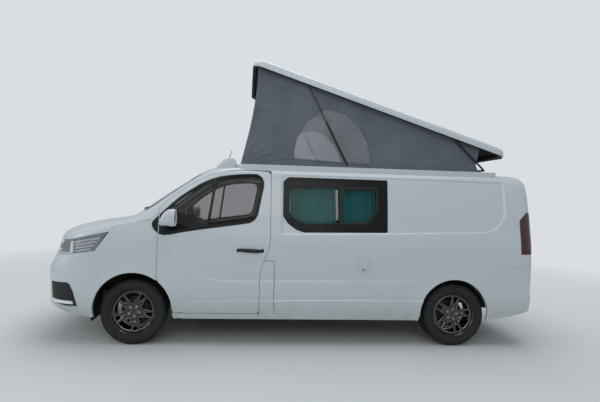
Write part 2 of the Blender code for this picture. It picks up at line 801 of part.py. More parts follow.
def build_front_subframe():
    rear_x = floor_front_x - seat_gap
    frame = box("front_subframe", (front_axle_x - cross_half, -rail_outer, cross_low),
                (front_axle_x + cross_half, rail_outer, cross_top), "steel")
    parts = []
    for label, side in SIDES:
        low, high = side_range(side, rail_inner, rail_outer)
        rail = box("rail_" + label, (-half_length, low, rail_low), (rear_x, high, rail_top))
        combine(rail, lining, "INTERSECT")
        parts.append(rail)
        inner_y = rail_inner + seat_gap
        low, high = side_range(side, inner_y, rail_outer - seat_gap)
        parts.append(box("tower_post_" + label,
                         (front_axle_x - tower_half, low, cross_top - arm_pad),
                         (front_axle_x + tower_half, high, tower_z + tower_plate)))
        low, high = side_range(side, inner_y + arm_pad, tower_y + tower_half)
        parts.append(box("tower_plate_" + label,
                         (front_axle_x - tower_half + arm_pad / 2, low, tower_z + seat_gap),
                         (front_axle_x + tower_half - arm_pad / 2, high,
                          tower_z + tower_plate)))
        outline = ((front_axle_x - cross_half, side * (rail_outer - arm_pad)),
                   (front_axle_x + cross_half, side * (rail_outer - arm_pad)),
                   (front_axle_x + arm_pad, side * (ball_joint_y + arm_pad / 2)),
                   (front_axle_x - arm_pad, side * (ball_joint_y + arm_pad / 2)))
        parts.append(prism("arm_" + label, outline, "Z", arm_low, ball_joint_z - seat_gap))
    for part in parts:
        combine(frame, part, "UNION")
    box("engine", (engine_front_x, -rail_inner + seat_gap, engine_low),
        (engine_rear_x - seat_gap, rail_inner - seat_gap, engine_top), "cast_iron")


beam_radius = 0.040
spring_y = 0.500
spring_radius = 0.050
arm_front_x = 1.150
arm_radius = 0.025
arm_foot = 0.040


def build_rear_axle():
    reach = rear_track / 2 - hub_inset
    under_floor = floor_bottom - seat_gap
    axle = rod("rear_axle", (rear_axle_x, -reach, wheel_radius),
               (rear_axle_x, reach, wheel_radius), beam_radius, "cast_iron", 16)
    for label, side in SIDES:
        parts = hub_parts("rear_axle_" + label, rear_axle_x, side, rear_track)
        y = side * spring_y
        parts.append(rod("spring_" + label, (rear_axle_x, y, wheel_radius),
                         (rear_axle_x, y, under_floor), spring_radius))
        parts.append(rod("trailing_arm_" + label, (rear_axle_x, y, wheel_radius),
                         (arm_front_x, y, wheel_radius), arm_radius))
        parts.append(box("arm_foot_" + label,
                         (arm_front_x - arm_foot, y - arm_foot, wheel_radius - arm_radius),
                         (arm_front_x + arm_foot, y + arm_foot, under_floor)))
        for part in parts:
            combine(axle, part, "UNION")


# Floor, tank and exhaust
floor_edge = 0.866
sill_front_x = -1.310
sill_rear_x = 1.355
housing_gap = 0.0515
housing_inner = (rear_track - tyre_width) / 2 - housing_gap
housing_wall = 0.027


def build_floor():
    top = sill_top - seat_gap
    half = [(floor_edge, floor_top), (floor_edge, top), (sill_face, top),
            (sill_face, sill_bottom), (sill_inner, sill_bottom), (sill_inner, floor_bottom)]
    outline = half + [(-y, z) for y, z in reversed(half)]
    floor = prism("floor", outline, "X", floor_front_x, sill_rear_x, "board")
    for label, side in SIDES:
        low, high = side_range(side, sill_inner, sill_face)
        combine(floor, box("sill_nose_" + label, (sill_front_x, low, sill_bottom),
                           (floor_front_x + overrun, high, top)), "UNION")
    rear = box("floor_rear", (sill_rear_x - overrun, -floor_edge, floor_bottom),
               (floor_rear_x, floor_edge, floor_top))
    combine(floor, rear, "UNION")
    wheel_x = rear_axle_x - arch_raise
    middle_z = wheel_radius + arch_raise
    for label, side in SIDES:
        housing = rod("housing_" + label, (wheel_x, side * housing_inner, middle_z),
                      (wheel_x, side * half_width, middle_z),
                      arch_radius_rear + housing_wall, None, 24)
        combine(housing, lining, "INTERSECT")
        combine(housing, box("housing_top_" + label,
                             (wheel_x - overrun * 2, -half_width, floor_bottom + seat_gap),
                             (wheel_x + overrun * 2, half_width, roof_height)), "INTERSECT")
        combine(floor, housing, "UNION")
        combine(floor, rod("housing_space_" + label,
                           (wheel_x, side * (housing_inner + housing_wall), middle_z),
                           (wheel_x, side * (half_width + overrun), middle_z),
                           arch_radius_rear, None, 24), "DIFFERENCE")


tank_low = 0.250
tank_front_x = -0.100
tank_rear_x = 0.780
tank_near_y = -0.100
tank_far_y = -0.640
pipe_y = 0.300
pipe_z = 0.360
pipe_radius = 0.027
pipe_front_x = -1.200
muffler_front_x = 0.350
muffler_rear_x = 0.900
muffler_radius = 0.078
hanger = 0.012


def build_underside():
    tank = box("fuel_tank", (tank_front_x, tank_far_y, tank_low),
               (tank_rear_x, tank_near_y, floor_bottom - seat_gap), "black_plastic")
    edge = tank.modifiers.new("rounded", "BEVEL")
    edge.width = arm_pad
    edge.segments = 2
    exhaust = rod("exhaust", (pipe_front_x, pipe_y, pipe_z), (muffler_rear_x, pipe_y, pipe_z),
                  pipe_radius, "steel")
    muffler_z = floor_bottom - muffler_radius - seat_gap
    combine(exhaust, rod("muffler", (muffler_front_x, pipe_y, muffler_z),
                         (muffler_rear_x, pipe_y, muffler_z), muffler_radius, None, 20),
            "UNION")
    for x in (pipe_front_x / 2, pipe_front_x + 2 * hanger):
        combine(exhaust, rod("hanger", (x, pipe_y, pipe_z),
                             (x, pipe_y, floor_bottom - seat_gap), hanger), "UNION")


# Cab and living space
DASHBOARD_SHARES = (
    (-0.653, 0.609), (-0.653, 0.660), (-0.547, 0.675), (-0.445, 0.642), (-0.409, 0.604),
    (-0.416, 0.538), (-0.438, 0.482), (-0.440, 0.230), (-0.454, 0.230), (-0.456, 0.482),
    (-0.474, 0.518), (-0.511, 0.569),
)
dash_half_width = 0.850


def build_dashboard():
    outline = [(x, max(z, floor_top + seat_gap)) for x, z in side_outline(DASHBOARD_SHARES)]
    dash = prism("dashboard", outline, "Y", -dash_half_width, dash_half_width,
                 "black_plastic")
    combine(dash, lining, "INTERSECT")
    return prism("cut_dashboard", grown_outline(outline, seat_gap), "Y", -dash_half_width,
                 dash_half_width)


wheel_centre = (-1.020, -0.420, 1.060)
wheel_ring = 0.185
wheel_tube = 0.015
wheel_tilt = math.radians(62.0)
column_length = 0.225
column_radius = 0.032


def build_steering_wheel(dash_cutter):
    shape = bmesh.new()
    bmesh.ops.create_circle(shape, segments=6, radius=wheel_tube)
    bmesh.ops.rotate(shape, verts=shape.verts, matrix=Matrix.Rotation(math.pi / 2, 3, "X"))
    bmesh.ops.translate(shape, verts=shape.verts, vec=Vector((wheel_ring, 0.0, 0.0)))
    bmesh.ops.spin(shape, geom=shape.edges[:] + shape.verts[:], axis=Vector((0, 0, 1)),
                   cent=Vector(), angle=2 * math.pi, steps=18, use_merge=False)
    bmesh.ops.remove_doubles(shape, verts=shape.verts, dist=1e-5)
    turn = Matrix.Translation(wheel_centre) @ Matrix.Rotation(wheel_tilt, 4, "Y")
    shape.transform(turn)
    wheel = add_object("steering_wheel", mesh_from(shape, "steering_wheel"), "black_plastic")
    column = rod("column", turn @ Vector((0.0, 0.0, wheel_tube)),
                 turn @ Vector((0.0, 0.0, -column_length)), column_radius)
    combine(wheel, column, "UNION")
    for angle in (0.0, math.pi):
        tip = turn @ Vector((0.0, wheel_ring * math.cos(angle), 0.0))
        combine(wheel, rod("wheel_spoke", turn @ Vector(), tip, wheel_tube), "UNION")
    combine(wheel, dash_cutter, "DIFFERENCE")


SEAT_SHARES = (
    (-0.350, 0.230), (-0.185, 0.230), (-0.185, 0.330), (-0.160, 0.340), (-0.118, 0.660),
    (-0.108, 0.772), (-0.150, 0.772), (-0.155, 0.680), (-0.200, 0.425), (-0.368, 0.430),
    (-0.375, 0.350), (-0.350, 0.330),
)
BENCH_SHARES = (
    (0.330, 0.230), (0.480, 0.230), (0.480, 0.340), (0.540, 0.345), (0.590, 0.690),
    (0.545, 0.690), (0.500, 0.430), (0.325, 0.430), (0.325, 0.345), (0.330, 0.330),
)
seat_inner = 0.200
seat_outer = 0.700
bench_left = -0.430
bench_right = 0.620
kitchen_front_x = -0.050
kitchen_rear_x = 1.300
kitchen_inner = 0.480
kitchen_top = 1.160
curtain_depth = 0.040


def floor_seated(shares):
    return [(x, max(z, floor_top + seat_gap)) for x, z in side_outline(shares)]


def build_interior():
    for label, side in SIDES:
        low, high = side_range(side, seat_inner, seat_outer)
        prism("seat_" + label, floor_seated(SEAT_SHARES), "Y", low, high, "seat_cloth")
    prism("bench", floor_seated(BENCH_SHARES), "Y", bench_left, bench_right, "seat_cloth")
    kitchen = box("kitchen", (kitchen_front_x, -half_width, floor_top + seat_gap),
                  (kitchen_rear_x, -kitchen_inner, kitchen_top), "board")
    combine(kitchen, lining, "INTERSECT")
    low, high = side_range(-1.0, centre_reach, half_width + overrun)
    curtain = prism("curtain", side_outline(SIDE_WINDOW_SHARES), "Y", low, high,
                    "curtain_cloth")
    combine(curtain, lining, "INTERSECT")
    combine(curtain, body_core("core_curtain", wall + curtain_depth, True), "DIFFERENCE")


# Door mirrors and hinge leaves
mirror_front_x = -1.445
mirror_rear_x = -1.285
mirror_inner = 0.985
mirror_outer = 1.140
mirror_low = 1.262
mirror_top = 1.447
mirror_arm_low = 1.262
mirror_arm_top = 1.302
mirror_round = 0.035
over_paint = body_core("core_over_paint", -seat_gap, False)


def build_mirrors():
    for label, side in SIDES:
        low, high = side_range(side, mirror_inner, mirror_outer)
        mirror = box("mirror_" + label, (mirror_front_x, low, mirror_low),
                     (mirror_rear_x, high, mirror_top), "paint")
        edge = mirror.modifiers.new("rounded", "BEVEL")
        edge.width = mirror_round
        edge.segments = 3
        low, high = side_range(side, mirror_inner - wall * 2, mirror_inner + mirror_round * 2)
        arm = box("mirror_arm_" + label,
                  (mirror_front_x + mirror_round, low, mirror_arm_low + seat_gap),
                  (mirror_rear_x - mirror_round, high, mirror_arm_top))
        combine(mirror, arm, "UNION")
        combine(mirror, over_paint, "DIFFERENCE")


# Hinge leaves of the doors, the bonnet and the tailgate
door_front_x = DOOR_SHARES[0][0] * half_length
bonnet_rear_x = BONNET_SHARES[4][0] * half_length
leaf_height = 0.060
leaf_reach = 0.030
leaf_out = 0.950
leaf_in = 0.925
DOOR_LEAF_SHARES = (0.400, 0.540)
bonnet_leaf_y = 0.500
bonnet_leaf_low = 1.312
bonnet_leaf_top = 1.334
tailgate_leaf_y = 0.420
tailgate_leaf_front_x = 2.626
tailgate_leaf_rear_x = 2.650


def build_hinge_leaves():
    frame = bpy.data.objects["cab_frame"]
    rear = bpy.data.objects["rear_frame"]
    gate_top = max(z for y, z in TAILGATE_SHARES) * roof_height - rebate
    for label, side in SIDES:
        wing = bpy.data.objects["wing_" + label]
        low, high = side_range(side, leaf_in, leaf_out)
        for share in DOOR_LEAF_SHARES:
            z = share * roof_height
            combine(wing, box("leaf_door", (wing_rear_x - leaf_reach, low, z),
                              (door_front_x + rebate - seat_gap, high, z + leaf_height)),
                    "UNION")
        low, high = side_range(side, bonnet_leaf_y, bonnet_leaf_y + leaf_height)
        combine(frame, box("leaf_bonnet", (bonnet_rear_x + seat_gap, low, bonnet_leaf_low),
                           (bonnet_rear_x + leaf_reach, high, bonnet_leaf_top)), "UNION")
        low, high = side_range(side, tailgate_leaf_y, tailgate_leaf_y + leaf_height)
        combine(rear, box("leaf_tailgate",
                          (tailgate_leaf_front_x, low, gate_top + seat_gap),
                          (tailgate_leaf_rear_x, high, gate_top + leaf_reach)), "UNION")


# Pop-up roof, its frame, stays and tent
frame_front_x = -0.680
frame_rear_x = 2.350
frame_half = 0.800
frame_ring = 0.060
frame_drop = 0.012
frame_top = roof_height - frame_drop
tent_half = 0.695
tent_front_x = -0.595
lever_inset = 0.150
lever_lead = 0.050
tent_rear_x = frame_rear_x - lever_inset - lever_lead
tent_drop = 0.045
tent_base = roof_height - tent_drop
tent_wall = 0.020
pocket_depth = 0.060
link_y = 0.722
stay_radius = 0.011
stay_rod_radius = 0.005
stay_slack = 0.0005
stay_foot_x = 0.576
link_rise = 0.019
link_base_z = pop_bottom + link_rise
stay_eye_closed_x = -0.040
stay_eye_rise = 0.029
stay_eye_closed_z = pop_bottom + stay_eye_rise
lever_base_x = frame_rear_x - lever_inset
lever_half_depth = 0.006
lever_half_height = 0.012
lever_eye_closed_x = 1.760
lever_eye_rise = 0.024
lever_eye_closed_z = pop_bottom + lever_eye_rise
lug_half = 0.014
pop_open = math.radians(pop_open_deg)


def pop_pivot():
    """The point about which the roof turns between its closed and its open place."""
    run = pop_front_open_x - pop_front_x
    rise = pop_front_open_z - pop_bottom
    reach = 1 / (2 * math.tan(pop_open / 2))
    return ((pop_front_x + pop_front_open_x) / 2 + rise * reach,
            (pop_bottom + pop_front_open_z) / 2 - run * reach)


pivot_x, pivot_z = pop_pivot()
pop_turn = (Matrix.Translation((pivot_x, 0.0, pivot_z)) @ Matrix.Rotation(pop_open, 4, "Y")
            @ Matrix.Translation((-pivot_x, 0.0, -pivot_z)))


def opened(x, z):
    """Where a point of the closed roof lies when the roof is open, as (x, z)."""
    moved = pop_turn @ Vector((x, 0.0, z))
    return (moved.x, moved.z)


def roof_ring(inset, z):
    outline = rounded_rectangle(pop_front_x + inset, pop_front_x + pop_length - inset,
                                pop_half_width - inset, pop_corner - inset / 2)
    return [(x, y, z) for x, y in outline]


def build_pop_top():
    shell = ring_loft("pop_top", [roof_ring(0.0, pop_bottom),
                                  roof_ring(0.0, pop_bottom + pop_edge),
                                  roof_ring(pop_edge, pop_bottom + pop_height)], "paint")
    pocket_ring = rounded_rectangle(pop_front_x + pop_wall,
                                    pop_front_x + pop_length - pop_wall,
                                    pop_half_width - pop_wall, pop_corner - pop_wall)
    pocket = prism("cut_pocket", pocket_ring, "Z", pop_bottom - overrun,
                   pop_bottom + pocket_depth)
    combine(shell, pocket, "DIFFERENCE")
    for label, side in SIDES:
        for kind, x, z, half_depth in (
                ("stay", stay_eye_closed_x, stay_eye_closed_z, stay_radius),
                ("lever", lever_eye_closed_x, lever_eye_closed_z, lever_half_depth)):
            low, high = side_range(side, link_y + half_depth + seat_gap,
                                   pop_half_width - pop_wall / 2)
            lug = box("lug_%s_%s" % (kind, label), (x - lug_half, low, z - lug_half),
                      (x + lug_half, high, pop_bottom + pocket_depth + seat_gap))
            combine(shell, lug, "UNION")
    for item in [shell] + [step.object for step in shell.modifiers]:
        item.matrix_world = pop_turn


def build_roof_frame():
    outline = rounded_rectangle(frame_front_x, frame_rear_x, frame_half, pop_corner)
    inside = rounded_rectangle(frame_front_x + frame_ring, frame_rear_x - frame_ring,
                               frame_half - frame_ring, pop_corner - frame_ring / 2)
    frame = prism("roof_frame", outline, "Z", roof_edge_z - overrun, frame_top, "aluminium")
    combine(frame, prism("cut_roof_frame", inside, "Z", roof_edge_z - 2 * overrun,
                         frame_top + overrun), "DIFFERENCE")
    combine(frame, over_paint, "DIFFERENCE")
    inner_y = frame_half - frame_ring
    for label, side in SIDES:
        for kind, x, half_depth in (("stay", stay_foot_x, stay_radius),
                                    ("lever", lever_base_x, lever_half_depth)):
            low, high = side_range(side, link_y + half_depth + seat_gap,
                                   inner_y + seat_gap * 4)
            combine(frame, box("foot_%s_%s" % (kind, label),
                               (x - lug_half, low, frame_top - lug_half),
                               (x + lug_half, high, link_base_z + lug_half)), "UNION")


def build_links():
    foot = Vector((stay_foot_x, 0.0, link_base_z))
    eye_x, eye_z = opened(stay_eye_closed_x, stay_eye_closed_z)
    eye = Vector((eye_x, 0.0, eye_z))
    closed_length = math.hypot(stay_foot_x - stay_eye_closed_x,
                               link_base_z - stay_eye_closed_z)
    open_length = (eye - foot).length
    tube_length = closed_length - 4 * lug_half
    rod_start = open_length - closed_length + 2 * lug_half
    turn = (eye - foot).to_track_quat("Z", "Y").to_matrix().to_4x4()
    bore = stay_rod_radius + stay_slack
    for label, side in SIDES:
        place = Matrix.Translation((foot.x, side * link_y, foot.z)) @ turn
        tube = turned("stay_tube", [(stay_radius, tube_length), (stay_radius, 0.0),
                                    (bore, 0.0), (bore, tube_length)], 12)
        made = add_object("stay_cylinder_" + label, tube, "black_plastic")
        made.matrix_world = place
        made = rod("stay_rod_" + label, (0.0, 0.0, rod_start), (0.0, 0.0, open_length),
                   stay_rod_radius, "steel", 10)
        made.matrix_world = place
    tip_x, tip_z = opened(lever_eye_closed_x, lever_eye_closed_z)
    base = Vector((lever_base_x, 0.0, link_base_z))
    along = Vector((tip_x, 0.0, tip_z)) - base
    turn = Matrix.Translation(base) @ along.to_track_quat("Z", "Y").to_matrix().to_4x4()
    lever = rod("rear_lever", (lever_base_x, -link_y, link_base_z),
                (lever_base_x, link_y, link_base_z), lever_half_height - seat_gap, "steel")
    for label, side in SIDES:
        low, high = side_range(side, link_y - lever_half_depth, link_y + lever_half_depth)
        across = turn.to_3x3() @ Vector((0.0, 1.0, 0.0))
        flip = 1.0 if abs(across.y) > 0.5 else 0.0
        arm = box("lever_arm_" + label,
                  ((-lever_half_height, low, 0.0) if flip
                   else (low, -lever_half_height, 0.0)),
                  ((lever_half_height, high, along.length) if flip
                   else (high, lever_half_height, along.length)))
        arm.matrix_world = turn
        combine(lever, arm, "UNION")


TENT_FRONT_SHARES = ((0.42, 0.035), (0.72, 0.020))


def build_tent():
    top = pop_bottom + pocket_depth - seat_gap
    front_top = opened(pop_front_x + pop_wall + lug_half, top)
    rear_top = opened(tent_rear_x, top)
    base_front = (tent_front_x, tent_base)
    outline = [base_front]
    for rise, sag in TENT_FRONT_SHARES:
        outline.append((base_front[0] + (front_top[0] - base_front[0]) * (rise + sag * 4),
                        base_front[1] + (front_top[1] - base_front[1]) * rise))
    outline += [front_top, rear_top, (tent_rear_x, frame_top), (tent_rear_x, tent_base)]
    tent = prism("tent", outline, "Y", -tent_half, tent_half, "tent_cloth")
    inside = grown_outline(outline, -tent_wall)
    inside[0] = (inside[0][0], tent_base - tent_wall)
    inside[-1] = (inside[-1][0], tent_base - tent_wall)
    combine(tent, prism("cut_tent", inside, "Y", tent_wall - tent_half,
                        tent_half - tent_wall), "DIFFERENCE")
    combine(tent, over_paint, "DIFFERENCE")


FAIRING_SHARES = (
    (-0.334, 0.940), (-0.334, 0.972), (-0.322, 0.989), (-0.303, 1.016), (-0.290, 1.024),
    (-0.265, 1.025), (-0.2555, 1.003), (-0.2555, 0.940),
)
fairing_half = 0.690
antenna_x = -0.835
antenna_rear_x = -0.770
antenna_foot = 0.030
antenna_z = roof_height + antenna_foot
antenna_length = 0.204
antenna_top = antenna_z + antenna_length
antenna_radius = 0.006


def build_fairing():
    fairing = prism("roof_fairing", side_outline(FAIRING_SHARES), "Y", -fairing_half,
                    fairing_half, "paint")
    combine(fairing, over_paint, "DIFFERENCE")
    combine(fairing, rod("antenna", (antenna_x, 0.0, antenna_z),
                         (antenna_rear_x, 0.0, antenna_top), antenna_radius, None, 8),
            "UNION")


place_wheels()
build_knuckles()
build_front_subframe()
build_rear_axle()
build_floor()
build_underside()
build_steering_wheel(build_dashboard())
build_interior()
build_mirrors()
build_hinge_leaves()
build_pop_top()
build_roof_frame()
build_links()
build_tent()
build_fairing()
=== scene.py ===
"""A white mid-size camper van with its tented roof raised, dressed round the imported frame.

Forward is -X, the left side is -Y and up is +Z, in metres.
"""
import math

import bmesh
import bpy
import numpy as np
from mathutils import Matrix, Vector
from mathutils.geometry import delaunay_2d_cdt


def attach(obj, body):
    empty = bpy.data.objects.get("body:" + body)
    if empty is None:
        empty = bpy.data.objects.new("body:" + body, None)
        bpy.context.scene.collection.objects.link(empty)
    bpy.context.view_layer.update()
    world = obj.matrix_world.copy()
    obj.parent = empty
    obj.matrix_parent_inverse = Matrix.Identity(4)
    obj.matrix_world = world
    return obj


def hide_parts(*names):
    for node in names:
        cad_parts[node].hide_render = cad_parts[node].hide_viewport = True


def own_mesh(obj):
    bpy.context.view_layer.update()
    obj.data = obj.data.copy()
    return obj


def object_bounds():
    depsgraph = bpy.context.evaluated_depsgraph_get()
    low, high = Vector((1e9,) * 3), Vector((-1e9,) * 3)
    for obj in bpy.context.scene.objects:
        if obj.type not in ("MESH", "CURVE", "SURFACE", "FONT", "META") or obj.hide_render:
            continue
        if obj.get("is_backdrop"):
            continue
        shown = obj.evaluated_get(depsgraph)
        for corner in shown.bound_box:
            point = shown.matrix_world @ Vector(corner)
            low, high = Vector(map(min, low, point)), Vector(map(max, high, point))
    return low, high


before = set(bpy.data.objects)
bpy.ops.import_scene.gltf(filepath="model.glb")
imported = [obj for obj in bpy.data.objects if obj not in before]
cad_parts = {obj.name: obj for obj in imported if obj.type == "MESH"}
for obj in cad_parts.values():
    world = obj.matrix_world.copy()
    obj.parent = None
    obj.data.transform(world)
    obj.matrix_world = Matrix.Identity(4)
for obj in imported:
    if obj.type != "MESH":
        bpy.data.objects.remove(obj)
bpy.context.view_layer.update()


# --- Camera -----------------------------------------------
# It stands 5.2 m to the left of the van's middle line, level with the van's windows.
# The frame leans a little and the lens is wide, solved from the wheels and the roof line.
camera_place = Vector((-0.566, -5.221, 1.560))
camera_yaw = math.radians(4.15)
camera_pitch = math.radians(0.16)
camera_roll = math.radians(1.65)
ahead = Vector((math.sin(camera_yaw) * math.cos(camera_pitch),
                math.cos(camera_yaw) * math.cos(camera_pitch), math.sin(camera_pitch)))
level = Vector((math.cos(camera_yaw), -math.sin(camera_yaw), 0.0))
upward = level.cross(ahead)
camera_right = math.cos(camera_roll) * level + math.sin(camera_roll) * upward
camera_up = -math.sin(camera_roll) * level + math.cos(camera_roll) * upward
camera_data = bpy.data.cameras.new("camera")
camera_data.lens = 23.97
camera_data.sensor_width = 36.0
camera_data.shift_x = 0.0408
camera_data.shift_y = -0.0022
camera = bpy.data.objects.new("camera", camera_data)
bpy.context.scene.collection.objects.link(camera)
camera.matrix_world = (Matrix.Translation(camera_place)
                       @ Matrix((camera_right, camera_up, -ahead)).transposed().to_4x4())
bpy.context.scene.camera = camera
bpy.context.scene.view_settings.view_transform = "Standard"


# --- Studio -----------------------------------------------
# A pale matt floor that fades into the horizon, under a wide overhead lamp and three soft
# lamps round the van. All are plain white, as an overcast sky is.
def srgb(hex_colour):
    """An sRGB hex colour as the linear colour that Blender's sockets take."""
    parts = [int(hex_colour[i:i + 2], 16) / 255 for i in (1, 3, 5)]
    return (*[c / 12.92 if c <= 0.04045 else ((c + 0.055) / 1.055) ** 2.4 for c in parts],
            1.0)


def add_node(tree, kind, inputs=None, **settings):
    """One node with its settings and its inputs, which are values or other sockets."""
    made = tree.nodes.new(kind)
    for key, value in settings.items():
        setattr(made, key, value)
    for key, value in (inputs or {}).items():
        if isinstance(value, bpy.types.NodeSocket):
            tree.links.new(value, made.inputs[key])
        else:
            made.inputs[key].default_value = value
    return made


def new_material(name, colour, roughness, **sockets):
    """A material with its shader's own sockets set."""
    made = bpy.data.materials.new(name)
    made.use_nodes = True
    shader = made.node_tree.nodes["Principled BSDF"]
    shader.inputs["Base Color"].default_value = srgb(colour)
    shader.inputs["Roughness"].default_value = roughness
    for key, value in sockets.items():
        shader.inputs[key.replace("_", " ").title()].default_value = value
    return made


def add_piece(name, vertices, faces, *materials):
    """A new object in the scene from plain vertices and faces."""
    mesh = bpy.data.meshes.new(name)
    mesh.from_pydata([tuple(v) for v in vertices], [], [tuple(f) for f in faces])
    for item in materials:
        mesh.materials.append(item)
    made = bpy.data.objects.new(name, mesh)
    bpy.context.scene.collection.objects.link(made)
    return made


HORIZON_COLOUR = "#DADEE3"
fade_start, fade_end = 3.2, 9.5
studio_floor = new_material("studio_floor_paint", "#D2D6D6", 0.9)
tree = studio_floor.node_tree
shader = tree.nodes["Principled BSDF"]
where = add_node(tree, "ShaderNodeTexCoord")
distance = add_node(tree, "ShaderNodeVectorMath", {0: where.outputs["Object"]},
                    operation="LENGTH")
far_share = add_node(tree, "ShaderNodeMapRange", {"Value": distance.outputs["Value"],
                                                  "From Min": fade_start,
                                                  "From Max": fade_end})
ray = add_node(tree, "ShaderNodeLightPath")
seen_share = add_node(tree, "ShaderNodeMath", {0: far_share.outputs["Result"],
                                               1: ray.outputs["Is Camera Ray"]},
                      operation="MULTIPLY")
horizon = add_node(tree, "ShaderNodeEmission", {"Color": srgb(HORIZON_COLOUR), "Strength": 1.0})
floor_mix = add_node(tree, "ShaderNodeMixShader", {0: seen_share.outputs["Value"],
                                                   1: shader.outputs["BSDF"],
                                                   2: horizon.outputs["Emission"]})
tree.links.new(floor_mix.outputs["Shader"], tree.nodes["Material Output"].inputs["Surface"])
floor_reach = 60.0
backdrop = add_piece("backdrop", [(x, y, 0.0) for x, y in (
    (-floor_reach, -floor_reach), (floor_reach, -floor_reach), (floor_reach, floor_reach),
    (-floor_reach, floor_reach))], [(0, 1, 2, 3)], studio_floor)
backdrop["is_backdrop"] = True
lamp_target = Vector((0.0, 0.0, 0.9))
# Columns: name, place, width and depth in metres, watts
for lamp_name, lamp_place, lamp_size, lamp_power in (
        ("overhead", (0.5, 0.5, 7.5), (9.0, 6.0), 330.0),
        ("camera_side", (-1.5, -9.5, 5.5), (9.0, 4.0), 150.0),
        ("front_side", (-9.0, -3.0, 4.0), (4.0, 4.0), 120.0),
        ("far_side", (3.0, 8.0, 5.0), (6.0, 3.0), 120.0)):
    lamp_data = bpy.data.lights.new(lamp_name, "AREA")
    lamp_data.shape = "RECTANGLE"
    lamp_data.size, lamp_data.size_y = lamp_size
    lamp_data.energy = lamp_power
    lamp = bpy.data.objects.new(lamp_name, lamp_data)
    lamp.location = lamp_place
    aim = lamp_target - Vector(lamp_place)
    lamp.rotation_euler = aim.to_track_quat("-Z", "Y").to_euler()
    bpy.context.scene.collection.objects.link(lamp)
world = bpy.data.worlds.new("studio_air")
bpy.context.scene.world = world
world.use_nodes = True
tree = world.node_tree
air = tree.nodes["Background"]
air.inputs["Color"].default_value = srgb("#E4EAF0")
air.inputs["Strength"].default_value = 0.50
ray = add_node(tree, "ShaderNodeLightPath")
seen = add_node(tree, "ShaderNodeBackground", {"Color": srgb(HORIZON_COLOUR), "Strength": 1.0})
air_mix = add_node(tree, "ShaderNodeMixShader", {0: ray.outputs["Is Camera Ray"],
                                                 1: air.outputs["Background"],
                                                 2: seen.outputs["Background"]})
tree.links.new(air_mix.outputs["Shader"], tree.nodes["World Output"].inputs["Surface"])


# --- Body form --------------------------------------------
# The pressed steel body, as one smooth surface that every outer panel is cut from. Its
# sections run round the van from the middle of the nose (0) along a side to the middle of
# the tail (3), and rise from the sill to the roof.
half_length = 2.740
half_width = 0.978
roof_height = 1.970
nose_depth = 0.90
tail_depth = 0.30
crown_drop = 0.030
tail_squareness = 5.0
# Columns: height, front, nose depth, squareness, half width, rear, drop of the sides
SECTION_SHARES = np.array((
    (0.147, -0.958, 0.92, 3.6, 0.948, 0.980, 0.0),
    (0.213, -0.996, 1.00, 4.2, 0.971, 0.996, 0.0),
    (0.371, -1.000, 1.00, 4.2, 0.992, 1.000, 0.0),
    (0.472, -0.978, 0.98, 3.8, 1.000, 0.999, 0.0),
    (0.558, -0.967, 0.84, 3.2, 0.995, 0.998, 0.3),
    (0.589, -0.954, 0.76, 3.0, 0.990, 0.998, 0.6),
    (0.612, -0.929, 0.67, 2.8, 0.985, 0.998, 0.8),
    (0.645, -0.843, 0.49, 2.5, 0.975, 0.998, 1.0),
    (0.670, -0.730, 0.30, 2.5, 0.967, 0.998, 1.0),
    (0.690, -0.679, 0.30, 2.5, 0.961, 0.998, 1.0),
    (0.731, -0.637, 0.36, 2.7, 0.949, 0.998, 0.9),
    (0.792, -0.578, 0.38, 2.8, 0.927, 0.998, 0.8),
    (0.863, -0.505, 0.38, 2.8, 0.899, 0.997, 0.8),
    (0.944, -0.416, 0.38, 2.7, 0.859, 0.989, 0.85),
    (0.980, -0.365, 0.44, 2.6, 0.792, 0.960, 1.0),
    (0.985, -0.336, 0.50, 2.6, 0.716, 0.931, 1.0),
    (0.988, -0.274, 0.56, 2.6, 0.562, 0.858, 1.0),
    (0.9892, -0.200, 0.56, 2.5, 0.300, 0.760, 0.0)))
SECTIONS = SECTION_SHARES * np.array((roof_height, half_length, nose_depth, 1.0, half_width,
                                      half_length, crown_drop))
KNOTS = np.concatenate(([0.0], np.cumsum(np.hypot(np.diff(SECTIONS[:, 0]),
                                                  np.diff(SECTIONS[:, 4])))))


def knot_slopes(values):
    """Slopes at the knots that never overshoot between two sections."""
    gap = np.diff(KNOTS)
    rise = np.diff(values) / gap
    slopes = np.zeros(len(values))
    same = rise[:-1] * rise[1:] > 0
    first = 2 * gap[1:] + gap[:-1]
    second = gap[1:] + 2 * gap[:-1]
    with np.errstate(divide="ignore", invalid="ignore"):
        inside = (first + second) / (first / rise[:-1] + second / rise[1:])
    slopes[1:-1] = np.where(same, inside, 0.0)
    slopes[0], slopes[-1] = rise[0], rise[-1]
    return slopes


SLOPES = np.array([knot_slopes(SECTIONS[:, i]) for i in range(7)]).T


def section_at(t):
    """The seven columns of the section at the height coordinate t."""
    t = np.clip(t, KNOTS[0], KNOTS[-1])
    i = np.clip(np.searchsorted(KNOTS, t) - 1, 0, len(KNOTS) - 2)
    gap = (KNOTS[i + 1] - KNOTS[i])[..., None]
    s = ((t - KNOTS[i]) / gap[..., 0])[..., None]
    return ((1 + 2 * s) * (1 - s) ** 2 * SECTIONS[i] + s * (1 - s) ** 2 * gap * SLOPES[i]
            + s * s * (3 - 2 * s) * SECTIONS[i + 1] + s * s * (s - 1) * gap * SLOPES[i + 1])


